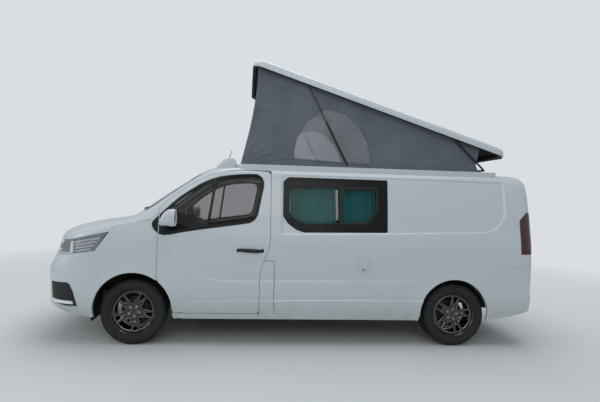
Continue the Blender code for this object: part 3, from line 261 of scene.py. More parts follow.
def body_point(a, t):
    """The point of the body's surface at the round coordinate a and the height t."""
    a = np.asarray(a, float)
    row = section_at(np.asarray(t, float))
    z, front, nose, square, wide, rear, drop = np.moveaxis(row, -1, 0)
    turn = np.abs(a)
    quarter = np.clip(turn, 0.0, 1.0) * math.pi / 2
    spread = (np.cos(quarter) ** square + np.sin(quarter) ** square) ** (-1 / square)
    tail_quarter = np.clip(3.0 - turn, 0.0, 1.0) * math.pi / 2
    tail_spread = (np.cos(tail_quarter) ** tail_squareness
                   + np.sin(tail_quarter) ** tail_squareness) ** (-1 / tail_squareness)
    side_start = front + nose
    side_end = rear - tail_depth
    x = np.where(turn < 1.0, side_start - nose * spread * np.cos(quarter),
                 np.where(turn < 2.0, side_start + (side_end - side_start) * (turn - 1.0),
                          side_end + tail_depth * tail_spread * np.cos(tail_quarter)))
    y = np.where(turn < 1.0, wide * spread * np.sin(quarter),
                 np.where(turn < 2.0, wide, wide * tail_spread * np.sin(tail_quarter)))
    return np.stack((x, y * np.sign(a), z - drop * (y / half_width) ** 2), axis=-1)


def body_normal(a, t):
    """The outward direction at (a, t)."""
    step = 1e-3
    low, high = np.clip(t - step, 0.0, KNOTS[-1]), np.clip(t + step, 0.0, KNOTS[-1])
    along = body_point(a + step, t) - body_point(a - step, t)
    rise = body_point(a, high) - body_point(a, low)
    made = -np.cross(along, rise)
    return made / np.maximum(np.linalg.norm(made, axis=-1), 1e-12)[..., None]


KNOT_FINE = np.linspace(0.0, KNOTS[-1], 1200)
FINE_HEIGHTS = section_at(KNOT_FINE)[:, 0]


def side_y(x, z):
    """Half width of the surface at side-view points, with its (a, t)."""
    height = np.array(z, float)
    for _ in range(8):
        t = np.interp(height, FINE_HEIGHTS, KNOT_FINE)
        _, front, nose, square, wide, rear, drop = np.moveaxis(section_at(t), -1, 0)
        ahead_share = np.clip((front + nose - x) / nose, 0.0, 1.0)
        behind_share = np.clip((x - rear + tail_depth) / tail_depth, 0.0, 1.0)
        y = np.where(x < front + nose, wide * (1 - ahead_share ** square) ** (1 / square),
                     wide * (1 - behind_share ** tail_squareness) ** (1 / tail_squareness))
        height = z + drop * (y / half_width) ** 2
    a_nose = np.arctan2(y / wide, ahead_share) / (math.pi / 2)
    a_tail = 3.0 - np.arctan2(y / wide, behind_share) / (math.pi / 2)
    a_side = 1.0 + (x - front - nose) / (rear - tail_depth - front - nose)
    a = np.where(x < front + nose, a_nose, np.where(x > rear - tail_depth, a_tail, a_side))
    return y, a, t


def from_side(points, side):
    """Side-view points (x, z) as coordinates (a, t) on the left (-1) or right (1) side."""
    points = np.asarray(points, float)
    _, a, t = side_y(points[:, 0], points[:, 1])
    return np.stack((side * a, t), axis=-1)


def from_end(points, end):
    """End-view points (y, z) as coordinates (a, t) on the front or the rear."""
    points = np.asarray(points, float)
    y, z = points[:, 0], points[:, 1]
    height = z.copy()
    for _ in range(4):
        t = np.interp(height, FINE_HEIGHTS, KNOT_FINE)
        _, _, _, square, wide, _, drop = np.moveaxis(section_at(t), -1, 0)
        height = z + drop * (y / half_width) ** 2
    square = square if end == "front" else np.full(len(y), tail_squareness)
    across = np.clip(np.abs(y) / wide, 0.0, 1.0)
    ahead_share = (1 - across ** square) ** (1 / square)
    turn = np.arctan2(across, ahead_share) / (math.pi / 2)
    a = turn if end == "front" else 3.0 - turn
    return np.stack((np.where(y < 0, -a, a), t), axis=-1)


def cut_at(a, reach):
    """The height t at which reach(points) turns from below to above zero, for each a."""
    heights = np.linspace(0.0, KNOTS[-1], 400)
    every_a, every_t = np.meshgrid(a, heights)
    above = reach(body_point(every_a, every_t)) > 0
    first = np.where(above.any(axis=0), above.argmax(axis=0), len(heights) - 1)
    high = heights[first]
    low = heights[np.maximum(first - 1, 0)]
    for _ in range(20):
        middle = (low + high) / 2
        above = reach(body_point(a, middle)) > 0
        high = np.where(above, middle, high)
        low = np.where(above, low, middle)
    return np.stack((a, (low + high) / 2), axis=-1)


def rounded(points, radius, step=0.02):
    """A closed outline with its corners rounded, and points a step apart.

    Each point is (u, v), or (u, v, radius) where its corner has a radius of its own."""
    corners = [Vector(p[:2]) for p in points]
    radii = [p[2] if len(p) > 2 else radius for p in points]
    made = []
    for i, corner in enumerate(corners):
        before = corners[i - 1] - corner
        after = corners[(i + 1) % len(corners)] - corner
        turn = before.angle(after)
        reach = min(radii[i] / max(math.tan(turn / 2), 1e-6), before.length * 0.48,
                    after.length * 0.48)
        start = corner + before.normalized() * reach
        end = corner + after.normalized() * reach
        count = max(2, int(reach * 2 / step) + 1, int((math.pi - turn) / 0.3) + 1)
        for k in range(count + 1):
            s = k / count
            made.append(start * (1 - s) ** 2 + corner * 2 * s * (1 - s) + end * s * s)
    dense = []
    for i, point in enumerate(made):
        after = made[(i + 1) % len(made)]
        if (after - point).length < 1e-5:
            continue
        count = max(1, int((after - point).length / step))
        dense += [tuple(point.lerp(after, k / count)) for k in range(count)]
    return dense


def spaced(points, step):
    """An open line with points about a step apart."""
    made = []
    for first, second in zip(points, points[1:]):
        first, second = np.array(first, float), np.array(second, float)
        count = max(1, int(np.linalg.norm(second - first) / step))
        made += [tuple(first + (second - first) * k / count) for k in range(count)]
    return made + [tuple(points[-1])]


# --- Pressed relief ---------------------------------------
# What the presses add to the plain form: flared arches, a cladding step along the sills,
# a crease along the doors and a shallow recess behind them. Depths are in metres.
wheel_radius = 0.343
front_axle_x = -1.726
rear_axle_x = 1.772
arch_middle_z = 0.363
arch_radius_front = 0.410
arch_radius_rear = 0.385
rear_arch_x = rear_axle_x - 0.020
CLADDING_LINE = ((-1.222, 0.330), (-1.212, 0.372), (-1.179, 0.427), (-1.107, 0.466),
                 (-0.972, 0.486), (0.037, 0.498), (1.418, 0.513), (2.091, 0.543),
                 (2.720, 0.585))
CREASE_LINE = ((-1.450, 1.165), (-1.367, 1.085), (-1.240, 0.955), (-1.111, 0.835),
               (-1.020, 0.768), (-0.930, 0.725), (-0.820, 0.702), (-0.600, 0.699),
               (0.030, 0.709), (1.465, 0.730), (1.700, 0.735))
RECESS = ((-0.180, 1.205, 0.05), (0.984, 1.233), (2.126, 1.275, 0.30), (2.245, 1.325, 0.20),
          (2.345, 1.452, 0.30), (2.360, 1.840, 0.06), (1.018, 1.846), (-0.180, 1.846, 0.05))
RECESS_OUTLINE = np.array(rounded(RECESS, 0.03, 0.05))
flare_depth = 0.012
cladding_depth = 0.011
crease_depth = 0.009
recess_depth = 0.012
plate_depth = 0.016


def ease(share):
    """A smooth step from 0 to 1."""
    share = np.clip(share, 0.0, 1.0)
    return share * share * (3 - 2 * share)


def outline_distance(x, z, outline):
    """Distance to a closed outline, positive inside it."""
    start = outline
    end = np.roll(outline, -1, axis=0)
    best = np.full(x.shape, 1e9)
    inside = np.zeros(x.shape, bool)
    for (x0, z0), (x1, z1) in zip(start, end):
        share = np.clip(((x - x0) * (x1 - x0) + (z - z0) * (z1 - z0))
                        / max((x1 - x0) ** 2 + (z1 - z0) ** 2, 1e-12), 0.0, 1.0)
        reach = np.hypot(x - x0 - share * (x1 - x0), z - z0 - share * (z1 - z0))
        best = np.minimum(best, reach)
        crosses = (z0 > z) != (z1 > z)
        at = x0 + (z - z0) / (z1 - z0 if z1 != z0 else 1e-12) * (x1 - x0)
        inside ^= crosses & (x < at)
    return np.where(inside, best, -best)


def relief(points):
    """How far the presses move the surface outwards at each point."""
    x, y, z = points[..., 0], points[..., 1], points[..., 2]
    on_side = ease((np.abs(y) - 0.70) / 0.12)
    made = np.zeros(x.shape)
    for middle_x, radius in ((front_axle_x, arch_radius_front),
                             (rear_arch_x, arch_radius_rear)):
        reach = np.hypot(x - middle_x, z - arch_middle_z) - radius
        made += flare_depth * np.exp(-(np.maximum(reach, 0.0) / 0.050) ** 2) * (z > 0.25)
    line = np.array(CLADDING_LINE)
    below = np.interp(x, line[:, 0], line[:, 1], left=0.0) - z
    made += cladding_depth * ease(below / 0.008 + 0.5) * (x > -1.25)
    line = np.array(CREASE_LINE)
    steep = 0.25 + 0.75 * ease((x + 1.15) / 0.30)
    over = (z - np.interp(x, line[:, 0], line[:, 1])) * (0.6 + 0.4 * steep)
    fade = ease((x + 1.43) / 0.15) * ease((1.52 - x) / 0.25)
    made -= crease_depth * fade * np.where(over > 0, np.exp(-over / 0.12), np.exp(over / 0.006))
    inset = outline_distance(x, z, RECESS_OUTLINE)
    made -= recess_depth * ease(inset / 0.016 + 0.5)
    plate = np.minimum(0.285 - np.abs(y), 0.075 - np.abs(z - 1.060))
    dip = plate_depth * ease(plate / 0.014 + 0.5) * ease((x - 2.60) / 0.05)
    return made * on_side - dip


# --- Panels -----------------------------------------------
# Each panel is a closed sheet: its outline laid on the body's form, the edge folded in all
# round, and a plain inner face. Edges keep the real seams of 4 to 7 mm between panels.
NOSE_RUN = 1.25
SIDE_RUN = 4.00
TAIL_RUN = 0.75
RUNS = np.array((0.0, NOSE_RUN, NOSE_RUN + SIDE_RUN, NOSE_RUN + SIDE_RUN + TAIL_RUN))


def unroll(coordinates, rear):
    """Coordinates (a, t) as a flat pattern in metres, from the middle of nose or tail."""
    a, t = coordinates[:, 0], coordinates[:, 1]
    run = np.interp(np.abs(a), np.arange(4.0), RUNS)
    run = RUNS[3] - run if rear else run
    return np.stack((np.where(a < 0, -run, run), t), axis=-1)


def roll_up(pattern, rear):
    """The way back from the flat pattern to coordinates a and t."""
    run = np.abs(pattern[:, 0])
    run = RUNS[3] - run if rear else run
    a = np.interp(run, RUNS, np.arange(4.0))
    return np.where(pattern[:, 0] < 0, -a, a), pattern[:, 1]


def signed_area(points):
    """The area inside a closed outline, below zero where it runs clockwise."""
    after = np.roll(points, -1, axis=0)
    return np.sum(points[:, 0] * after[:, 1] - after[:, 0] * points[:, 1]) / 2


def turned_right(loop, positive):
    """The outline run anticlockwise, or clockwise where positive is false."""
    points = np.array(loop)
    return points if (signed_area(points) > 0) == positive else points[::-1]


def smooth_shade(made, sharp_degrees):
    made.data.shade_smooth()
    made.data.set_sharp_from_angle(angle=math.radians(sharp_degrees))


def fill_pattern(loops, cell, lines=()):
    """Triangles inside the first loop and outside the others, on points a cell apart.

    The loops' points come first, in their order."""
    edge = np.concatenate(loops)
    low, high = edge.min(0), edge.max(0)
    columns = np.arange(low[0] + cell / 2, high[0], cell)
    rows = np.arange(low[1] + cell / 2, high[1], cell * 0.866)
    grid_x, grid_y = np.meshgrid(columns, rows)
    grid_x[1::2] += cell / 2
    lattice = np.stack((grid_x.ravel(), grid_y.ravel()), axis=-1)

    def inside_all(points):
        inside = np.zeros(len(points), bool)
        for loop in loops:
            after = np.roll(loop, -1, axis=0)
            for (x0, y0), (x1, y1) in zip(loop, after):
                if y0 == y1:
                    continue
                crosses = (y0 > points[:, 1]) != (y1 > points[:, 1])
                inside ^= crosses & (points[:, 0] < x0 + (points[:, 1] - y0) / (y1 - y0)
                                     * (x1 - x0))
        return inside

    def far_from(points, others, reach):
        keep = np.ones(len(points), bool)
        for point in others:
            keep &= (np.abs(points[:, 0] - point[0]) > reach) | (
                np.abs(points[:, 1] - point[1]) > reach) | (
                np.hypot(points[:, 0] - point[0], points[:, 1] - point[1]) > reach)
        return keep

    edges = []
    start = 0
    for loop in loops:
        edges += [(start + i, start + (i + 1) % len(loop)) for i in range(len(loop))]
        start += len(loop)
    points = [edge]
    for line in lines:
        line = np.asarray(line)
        keep = inside_all(line) & far_from(line, edge, cell * 0.25)
        number = start - 1 + np.cumsum(keep)
        edges += [(int(number[i]), int(number[i + 1])) for i in range(len(line) - 1)
                  if keep[i] and keep[i + 1]]
        points.append(line[keep])
        start += int(keep.sum())
    fixed = np.concatenate(points)
    lattice = lattice[inside_all(lattice)]
    lattice = lattice[far_from(lattice, fixed, cell * 0.5)]
    every = np.concatenate((fixed, lattice))
    found, _, triangles, sources, _, _ = delaunay_2d_cdt([Vector(p) for p in every], edges, [],
                                                         0, 1e-7, True)
    found = np.array([tuple(p) for p in found])
    triangles = np.array(triangles)
    triangles = triangles[inside_all(found[triangles].mean(1))]
    place = np.full(len(every), -1)
    for index, source in enumerate(sources):
        for one in source:
            place[one] = index
    return found, triangles, place


def lay_panel(name, loops, rear=False, cell=0.03, wall=0.012, lines=(), lift=0.0,
              rebate=0.0, skin=0.012, materials=(), edge_radius=0.002, plain=False):
    """A closed sheet with rounded edges, through outlines of coordinates (a, t).

    Points lie on the lines too, so that the relief bends there. Lift moves the sheet
    outwards, rebate draws its inner part in behind the skin, and plain leaves the relief
    out. A second material covers the inner face."""
    patterns = []
    for index, loop in enumerate(loops):
        flat = unroll(np.asarray(loop), rear)
        patterns.append(turned_right(spaced(list(flat) + [flat[0]], 0.03)[:-1], index == 0))
    flat_lines = [unroll(np.asarray(line), rear) for line in lines]
    outside = 1.0 if rear else -1.0

    def place(pattern, depth):
        a, t = roll_up(pattern, rear)
        points = body_point(a, t)
        out = body_normal(a, t)
        height = 0.0 if plain else relief(points)[..., None]
        return points + out * (height + lift - depth), out

    found, triangles, numbers = fill_pattern(patterns, cell, flat_lines)
    vertices = [place(found, 0.0)[0]]
    order = (0, 2, 1) if outside < 0 else (0, 1, 2)
    faces = [tuple(row) for row in triangles[:, order]]
    count = len(found)
    inner_found, inner_triangles, inner_numbers = fill_pattern(patterns, max(cell * 2, 0.05))
    steps = [(edge_radius * 0.6, edge_radius * 0.3), (edge_radius, edge_radius)]
    if rebate:
        steps += [(edge_radius, skin), (edge_radius - rebate, skin)]
    first = 0
    inner_rings = []
    for pattern in patterns:
        points, out = place(pattern, 0.0)
        tangent = np.roll(points, -1, axis=0) - np.roll(points, 1, axis=0)
        aside = np.cross(tangent, out) * outside
        aside /= np.maximum(np.linalg.norm(aside, axis=-1), 1e-12)[..., None]
        ring = [int(n) for n in numbers[first:first + len(pattern)]]
        size = len(pattern)
        for spread, depth in steps:
            vertices.append(points + aside * spread - out * depth)
            fresh = list(range(count, count + size))
            count += size
            faces += quad_ring(ring, fresh, outside)
            ring = fresh
        inner_rings.append((ring, first, points, aside, out))
        first += size
    base, out = place(inner_found, wall)
    spread = edge_radius - rebate
    for ring, start, points, aside, out_edge in inner_rings:
        size = len(ring)
        numbers_here = inner_numbers[start:start + size]
        base[numbers_here] = points + aside * spread - out_edge * wall
        faces += quad_ring(ring, [int(n) + count for n in numbers_here], outside)
    vertices.append(base)
    outer_faces = len(faces)
    order = (0, 1, 2) if outside < 0 else (0, 2, 1)
    faces += [tuple(row + count) for row in inner_triangles[:, order]]
    made = add_piece(name, np.concatenate(vertices), faces, *materials)
    smooth_shade(made, 24)
    if len(materials) > 1:
        for face in made.data.polygons[outer_faces:]:
            face.material_index = 1
    return made


def quad_ring(first, second, outside):
    """Faces between two rings of equal size."""
    size = len(first)
    made = [(first[i], second[i], second[(i + 1) % size], first[(i + 1) % size])
            for i in range(size)]
    return [face[::-1] for face in made] if outside < 0 else made


# --- Paint and lining -------------------------------------
# Solid white two-layer car paint: even and glossy, with a faint orange peel from spraying.
# Low on the panels its colour is painted darker and greener in blotches: a painted reflection
# of grass and painted shade. Inside, the walls wear a needled grey felt.
def grain_noise(material, scale, detail):
    """A noise pattern fixed to the van, its grains about 1 / scale metres wide."""
    where = add_node(material.node_tree, "ShaderNodeTexCoord")
    made = add_node(material.node_tree, "ShaderNodeTexNoise",
                    {"Vector": where.outputs["Object"], "Scale": scale, "Detail": detail})
    return made.outputs["Fac"]


def colour_between(material, share, low, high):
    """A base colour that goes from one hex colour to the other with the share."""
    tree = material.node_tree
    tone = add_node(tree, "ShaderNodeMix", {"Factor": share, "A": srgb(low),
                                            "B": srgb(high)}, data_type="RGBA")
    tree.links.new(tone.outputs["Result"], tree.nodes["Principled BSDF"].inputs["Base Color"])


def raise_by(material, height, strength, distance):
    """A fine relief in the finish, distance metres high."""
    tree = material.node_tree
    bump = add_node(tree, "ShaderNodeBump", {"Height": height, "Strength": strength,
                                             "Distance": distance})
    tree.links.new(bump.outputs["Normal"], tree.nodes["Principled BSDF"].inputs["Normal"])


paint = new_material("white_car_paint", "#C5CDD4", 0.38, coat_weight=0.55,
                     coat_roughness=0.06)
tree = paint.node_tree
where = add_node(tree, "ShaderNodeTexCoord")
height = add_node(tree, "ShaderNodeSeparateXYZ", {"Vector": where.outputs["Object"]})
# Painted grass reflection and shade: the colour turns darker and greener below 0.62 m, in noise
# blotches
low_share = add_node(tree, "ShaderNodeMapRange", {"Value": height.outputs["Z"],
                                                  "From Min": 0.28, "From Max": 0.62,
                                                  "To Min": 1.0, "To Max": 0.0})
grass_reflection_share = add_node(tree, "ShaderNodeMath", {0: low_share.outputs["Result"],
                                               1: grain_noise(paint, 9.0, 6.0)},
                      operation="MULTIPLY")
colour_between(paint, grass_reflection_share.outputs["Value"], "#C4CDD2", "#A1A5A0")
raise_by(paint, grain_noise(paint, 260.0, 2.0), 0.03, 0.001)
felt = new_material("needled_felt", "#6F7376", 0.95)
colour_between(felt, grain_noise(felt, 420.0, 3.0), "#5A5E61", "#83878A")


# --- Wings ------------------------------------------------
# Front wings of pressed steel, bolted on between bumper, bonnet and door. Each ends in the
# flared edge of its wheel arch.
SIDES = (("left", -1), ("right", 1))
wall = 0.055
door_gap = 0.007
seam = 0.0035


def mount(piece, body, slot, *nodes):
    """The piece rides on a body and stands for the nodes, which it hides. The slot is not used.
    """
    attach(piece, body)
    if nodes:
        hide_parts(*nodes)


def arc(middle_x, middle_z, radius, start, end, count=28):
    """Side-view points of an arc, with its angles in degrees from the rear, upwards."""
    return [(middle_x + radius * math.cos(math.radians(start + (end - start) * i / count)),
             middle_z + radius * math.sin(math.radians(start + (end - start) * i / count)))
            for i in range(count + 1)]


def dense(points, step=0.025):
    """A closed outline with points a step apart and sharp corners kept."""
    return spaced(list(points) + [points[0]], step)[:-1]


def side_outline(points, side, step=0.025):
    """A closed side-view outline on the body, with points a step apart."""
    return from_side(dense(points, step), side)


def end_outline(points, end):
    """A closed end-view outline on the body."""
    return from_end(dense(points), end)


def arch_lines(side, middle_x, radius):
    """Rings beside an arch's edge, so that the flare has points to bend at."""
    return [from_side(arc(middle_x, arch_middle_z, radius + out, 0, 180, 60), side)
            for out in (0.012, 0.030, 0.055, 0.085)]


def side_line(points, side, step=0.02):
    """An open side-view line on the body, with points about a step apart."""
    return from_side(spaced(points, step), side)


def step_lines(points, side, out=0.005):
    """Two lines on either side of a step in the relief."""
    return [side_line([(x, z + shift) for x, z in points], side) for shift in (-out, out)]


wing_rear_x = -1.4796 - door_gap
front_arch = arc(front_axle_x, arch_middle_z, arch_radius_front, 54.3, 142.2)
wing_outline = dense(front_arch + [(-2.115 + seam, 0.900), (-2.121 + seam, 0.985),
                                   (-1.976 + seam, 1.194), (-1.896 + seam, 1.257),
                                   (-1.869 + seam, 1.308), (wing_rear_x, 1.308)])
for label, side in SIDES:
    wing = lay_panel("wing_" + label, [from_side(wing_outline, side)], cell=0.022,
                     wall=0.020, lines=arch_lines(side, front_axle_x, arch_radius_front),
                     materials=(paint,))
    mount(wing, "root", "paint", "wing_" + label)


# --- Doors ------------------------------------------------
# Pressed steel doors. The outer skin overlaps the rebated inner part all round, and a
# black surround joins the drop glass and the fixed quarter glass.
DOOR = ((-1.4796, 0.354), (-0.4055, 0.354), (-0.4055, 0.780), (-0.375, 0.900),
        (-0.318, 1.030), (-0.304, 1.121), (-0.304, 1.872, 0.06), (-0.619, 1.885),
        (-0.800, 1.868), (-0.981, 1.816), (-1.189, 1.698), (-1.370, 1.564), (-1.4796, 1.456))
WINDOW_SEAL = ((-1.557, 1.290), (-1.499, 1.354), (-1.421, 1.435), (-1.352, 1.505),
               (-1.273, 1.576), (-1.172, 1.649), (-1.070, 1.717), (-0.966, 1.770),
               (-0.860, 1.806), (-0.753, 1.826), (-0.645, 1.838), (-0.536, 1.845),
               (-0.455, 1.845), (-0.405, 1.815), (-0.378, 1.761), (-0.381, 1.706),
               (-0.400, 1.608), (-0.420, 1.499), (-0.439, 1.402), (-0.469, 1.348),
               (-0.522, 1.315), (-0.628, 1.297), (-0.838, 1.265), (-1.046, 1.234),
               (-1.252, 1.198), (-1.355, 1.175), (-1.427, 1.168), (-1.479, 1.183),
               (-1.530, 1.229))


def clipped(outline, place, away):
    """The part of an outline on the side of a line that away points to."""
    made = []
    for i, first in enumerate(outline):
        second = outline[(i + 1) % len(outline)]
        near = (first[0] - place[0]) * away[0] + (first[1] - place[1]) * away[1]
        far = (second[0] - place[0]) * away[0] + (second[1] - place[1]) * away[1]
        if near >= 0:
            made.append(first)
        if near * far < 0:
            share = near / (near - far)
            made.append((first[0] + (second[0] - first[0]) * share,
                         first[1] + (second[1] - first[1]) * share))
    return made


def grown(outline, gap):
    """The outline moved outwards by gap, or inwards below zero."""
    points = np.array([p[:2] for p in outline])
    edge = np.roll(points, -1, axis=0) - points
    edge /= np.linalg.norm(edge, axis=1)[:, None]
    normal = np.stack((edge[:, 1], -edge[:, 0]), axis=1)
    normal *= 1 if signed_area(points) > 0 else -1
    mean = normal + np.roll(normal, 1, axis=0)
    mean /= np.linalg.norm(mean, axis=1)[:, None]
    spread = np.maximum(np.sum(mean * normal, axis=1), 0.3)
    return [tuple(p) for p in points + mean * (gap / spread)[:, None]]


glass = new_material("tinted_float_glass", "#080B0D", 0.03, alpha=0.30)
black_trim = new_material("gloss_black_trim", "#050506", 0.32,
                          coat_weight=0.15, coat_roughness=0.10)
shader = black_trim.node_tree.nodes["Principled BSDF"]
shader.inputs["Specular IOR Level"].default_value = 0.22
seal_outline = rounded(WINDOW_SEAL, 0.05, 0.02)
door_outline = rounded(DOOR, 0.03, 0.025)
arch_gap = 0.002
door_outline = [p for p in door_outline
                if math.hypot(p[0] - front_axle_x, p[1] - arch_middle_z)
                > arch_radius_front + arch_gap]
# The outline starts where the door's foot meets the arch, and the arch's arc closes it
low_edge = [i for i, p in enumerate(door_outline) if p[1] < 0.36]
entry = min(low_edge, key=lambda i: door_outline[i][0])
door_outline = door_outline[entry:] + door_outline[:entry]
door_outline += arc(front_axle_x, arch_middle_z, arch_radius_front + arch_gap, 52.9, -1.0,
                    16)[1:-1]
# The upright bar between the drop glass and the quarter glass
divider_place = (-0.929, 1.557)
divider_away = (0.9912, -0.1325)
divider_half = 0.012
divider_front = (divider_place[0] - divider_half, divider_place[1])
divider_rear = (divider_place[0] + divider_half, divider_place[1])
surround_outline = clipped(seal_outline, (-1.472, 1.3), (1.0, 0.0))
inner_outline = grown(clipped(seal_outline, (-1.44, 1.3), (1.0, 0.0)), -0.030)
main_pane = clipped(inner_outline, divider_rear, divider_away)
quarter_pane = clipped(clipped(inner_outline, divider_front,
                               (-divider_away[0], -divider_away[1])), (-1.35, 1.3), (1.0, 0.15))
for label, side in SIDES:
    body = "door_" + label
    lines = step_lines(CLADDING_LINE, side) + step_lines(CREASE_LINE, side, 0.004)
    lines += arch_lines(side, front_axle_x, arch_radius_front)
    door = lay_panel("door_" + label,
                     [from_side(door_outline, side),
                      side_outline(grown(surround_outline, -0.012), side)], cell=0.022,
                     wall=wall, rebate=0.020, lines=lines, materials=(paint, felt))
    mount(door, body, "paint", "door_" + label)
    surround = lay_panel("door_surround_" + label,
                         [side_outline(surround_outline, side),
                          side_outline(rounded(main_pane, 0.02), side),
                          side_outline(rounded(quarter_pane, 0.02), side)],
                         cell=0.03, wall=0.010, lift=0.0015, materials=(black_trim,))
    mount(surround, body, "black_plastic")
    for pane_name, pane in (("door_pane_", main_pane), ("quarter_pane_", quarter_pane)):
        piece = lay_panel(pane_name + label,
                          [side_outline(grown(rounded(pane, 0.02), 0.008), side)],
                          cell=0.05, wall=0.0045, lift=-0.011, materials=(glass,))
        mount(piece, body, "glass")
        if pane_name == "door_pane_":
            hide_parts("door_glass_" + label)
    tip = lay_panel("window_tip_" + label,
                    [side_outline(clipped(seal_outline, (-1.4866, 1.3), (-1.0, 0.0)),
                                  side, 0.01)], cell=0.02, wall=0.004, lift=0.002,
                    materials=(black_trim,))
    mount(tip, "root", "black_plastic")


# --- Body sides -------------------------------------------
# Welded steel sides from the door post to the rear corner, with a long bonded window on
# the left and the opening of the sliding door on the right.
rear_arch = arc(rear_arch_x, arch_middle_z, arch_radius_rear, 178.0, 42.1)
SIDE_EDGE = ([(-0.3985, 0.3463), (-0.3985, 0.7785), (-0.3685, 0.898), (-0.3113, 1.0285),
              (-0.297, 1.1205), (-0.297, 1.8925), (2.4646, 1.8925), (2.4052, 0.8927),
              (2.382, 0.892), (2.357, 0.802), (2.264, 0.744), (2.130, 0.675)]
             + rear_arch[::-1] + [(1.3674, 0.3463)])
SIDE_WINDOW = ((-0.168, 1.40), (-0.168, 1.781, 0.05), (-0.110, 1.832, 0.06),
               (1.006, 1.830, 0.02), (0.990, 1.243, 0.02), (0.060, 1.226, 0.12),
               (-0.030, 1.258, 0.1), (-0.115, 1.320, 0.1))
SLIDING_DOOR = ((-0.285, 0.354), (0.970, 0.354), (0.970, 1.840, 0.04), (-0.241, 1.840, 0.04),
                (-0.241, 1.121), (-0.260, 1.001), (-0.285, 0.900))
SLIDING_GLASS = ((-0.168, 1.40, 0.2), (-0.168, 1.805, 0.06), (0.930, 1.805, 0.04),
                 (0.930, 1.243, 0.05), (0.060, 1.228, 0.15))
window_outline = rounded(SIDE_WINDOW, 0.03)
slider_outline = rounded(SLIDING_DOOR, 0.03)
slider_glass_outline = rounded(SLIDING_GLASS, 0.03)
recess_lines = [dense(grown(RECESS_OUTLINE, out), 0.03) for out in (-0.009, 0.009)]
recess_lines = [line + line[:1] for line in recess_lines]
for label, side in SIDES:
    hole = window_outline if label == "left" else grown(slider_outline, seam)
    lines = step_lines(CLADDING_LINE, side) + step_lines(CREASE_LINE, side, 0.004)
    lines += arch_lines(side, rear_arch_x, arch_radius_rear)
    lines += [from_side(line, side) for line in recess_lines]
    panel = lay_panel("side_" + label, [side_outline(SIDE_EDGE, side),
                                        side_outline(hole, side)], cell=0.024, wall=wall,
                      lines=lines, materials=(paint, felt), edge_radius=0.0015)
    mount(panel, "root", "paint", "side_" + label)
slider = lay_panel("sliding_door", [side_outline(slider_outline, 1),
                                    side_outline(slider_glass_outline, 1)], cell=0.024,
                   wall=wall, lines=step_lines(CLADDING_LINE, 1)
                   + step_lines(CREASE_LINE, 1, 0.004)
                   + [from_side(line, 1) for line in recess_lines], materials=(paint, felt))
mount(slider, "root", "paint", "sliding_door")
for label, side in SIDES:
    sill = lay_panel("sill_" + label,
                     [side_outline([(-1.300, 0.2905), (1.350, 0.2905), (1.366, 0.3455),
                                    (-1.315, 0.3455)], side)], cell=0.03, wall=0.010,
                     materials=(paint,))
    mount(sill, "root", "paint")


# --- Bonnet -----------------------------------------------
# One pressed steel lid on two hinges at the scuttle. It reaches down to the lamps, and its
# sides meet the wings.
BONNET_LINE = ((-2.800, 1.076), (-2.419, 1.095), (-1.9755, 1.196), (-1.899, 1.263),
               (-1.869, 1.310))
BUMPER_LINE = ((-2.800, 0.930), (-2.430, 0.938), (-2.1235, 0.985))
bonnet_rear_x = -1.869


def across(edge_a, reach, count=60):
    """A line round the nose from side to side, where reach(points) turns positive."""
    return cut_at(np.linspace(-edge_a, edge_a, count), reach)


def over_line(line, lift=0.0):
    """How far a point lies above a side-view line that is moved up by lift."""
    line = np.array(line, float)
    return lambda p: p[..., 2] - lift - np.interp(p[..., 0], line[:, 0], line[:, 1])


def mirrored(coordinates):
    return np.asarray(coordinates) * (-1.0, 1.0)


def sided(coordinates, side):
    """An outline of the right side, mirrored where it is for the left."""
    return coordinates if side > 0 else mirrored(coordinates)


bonnet_edge = side_line(BONNET_LINE[2:], 1, 0.015)
bonnet = lay_panel("bonnet", [np.concatenate((
    across(bonnet_edge[0, 0], over_line(BONNET_LINE), 90), bonnet_edge[1:],
    across(bonnet_edge[-1, 0], lambda p: p[..., 0] - bonnet_rear_x)[::-1][1:-1],
    mirrored(bonnet_edge)[::-1][:-1]))], cell=0.024, wall=0.022, materials=(paint,))
mount(bonnet, "bonnet", "paint", "bonnet")


# --- Front bumper -----------------------------------------
# Painted plastic bumper with a black lower grille and a black fog lamp bezel at each
# corner. A white blade runs round the rear and the foot of each bezel.
grain = new_material("grained_black_plastic", "#141516", 0.62)
where = add_node(grain.node_tree, "ShaderNodeTexCoord")
pores = add_node(grain.node_tree, "ShaderNodeTexVoronoi", {"Vector": where.outputs["Object"],
                                                           "Scale": 520.0})
raise_by(grain, pores.outputs["Distance"], 0.25, 0.0006)
LOW_LINE = ((-2.800, 0.400), (-2.530, 0.358), (-2.450, 0.326), (-2.300, 0.304),
            (-2.100, 0.291))
bumper_end = from_side(arc(front_axle_x, arch_middle_z, arch_radius_front, 190.0, 142.8)
                       + spaced([(-2.0545, 0.6115), (-2.115, 0.900), (-2.1235, 0.985)],
                                0.02)[1:], 1)


def bezel_outline(side):
    """The fog lamp bezel: side-view points at its rear, end-view points at its front."""
    rear = [(-2.400, 0.654), (-2.366, 0.634), (-2.332, 0.562), (-2.282, 0.400),
            (-2.430, 0.390)]
    front = [(side * 0.70, 0.455), (side * 0.64, 0.470), (side * 0.60, 0.610),
             (side * 0.64, 0.645)]
    return np.concatenate((from_side(rear, side), from_end(front, "front")))


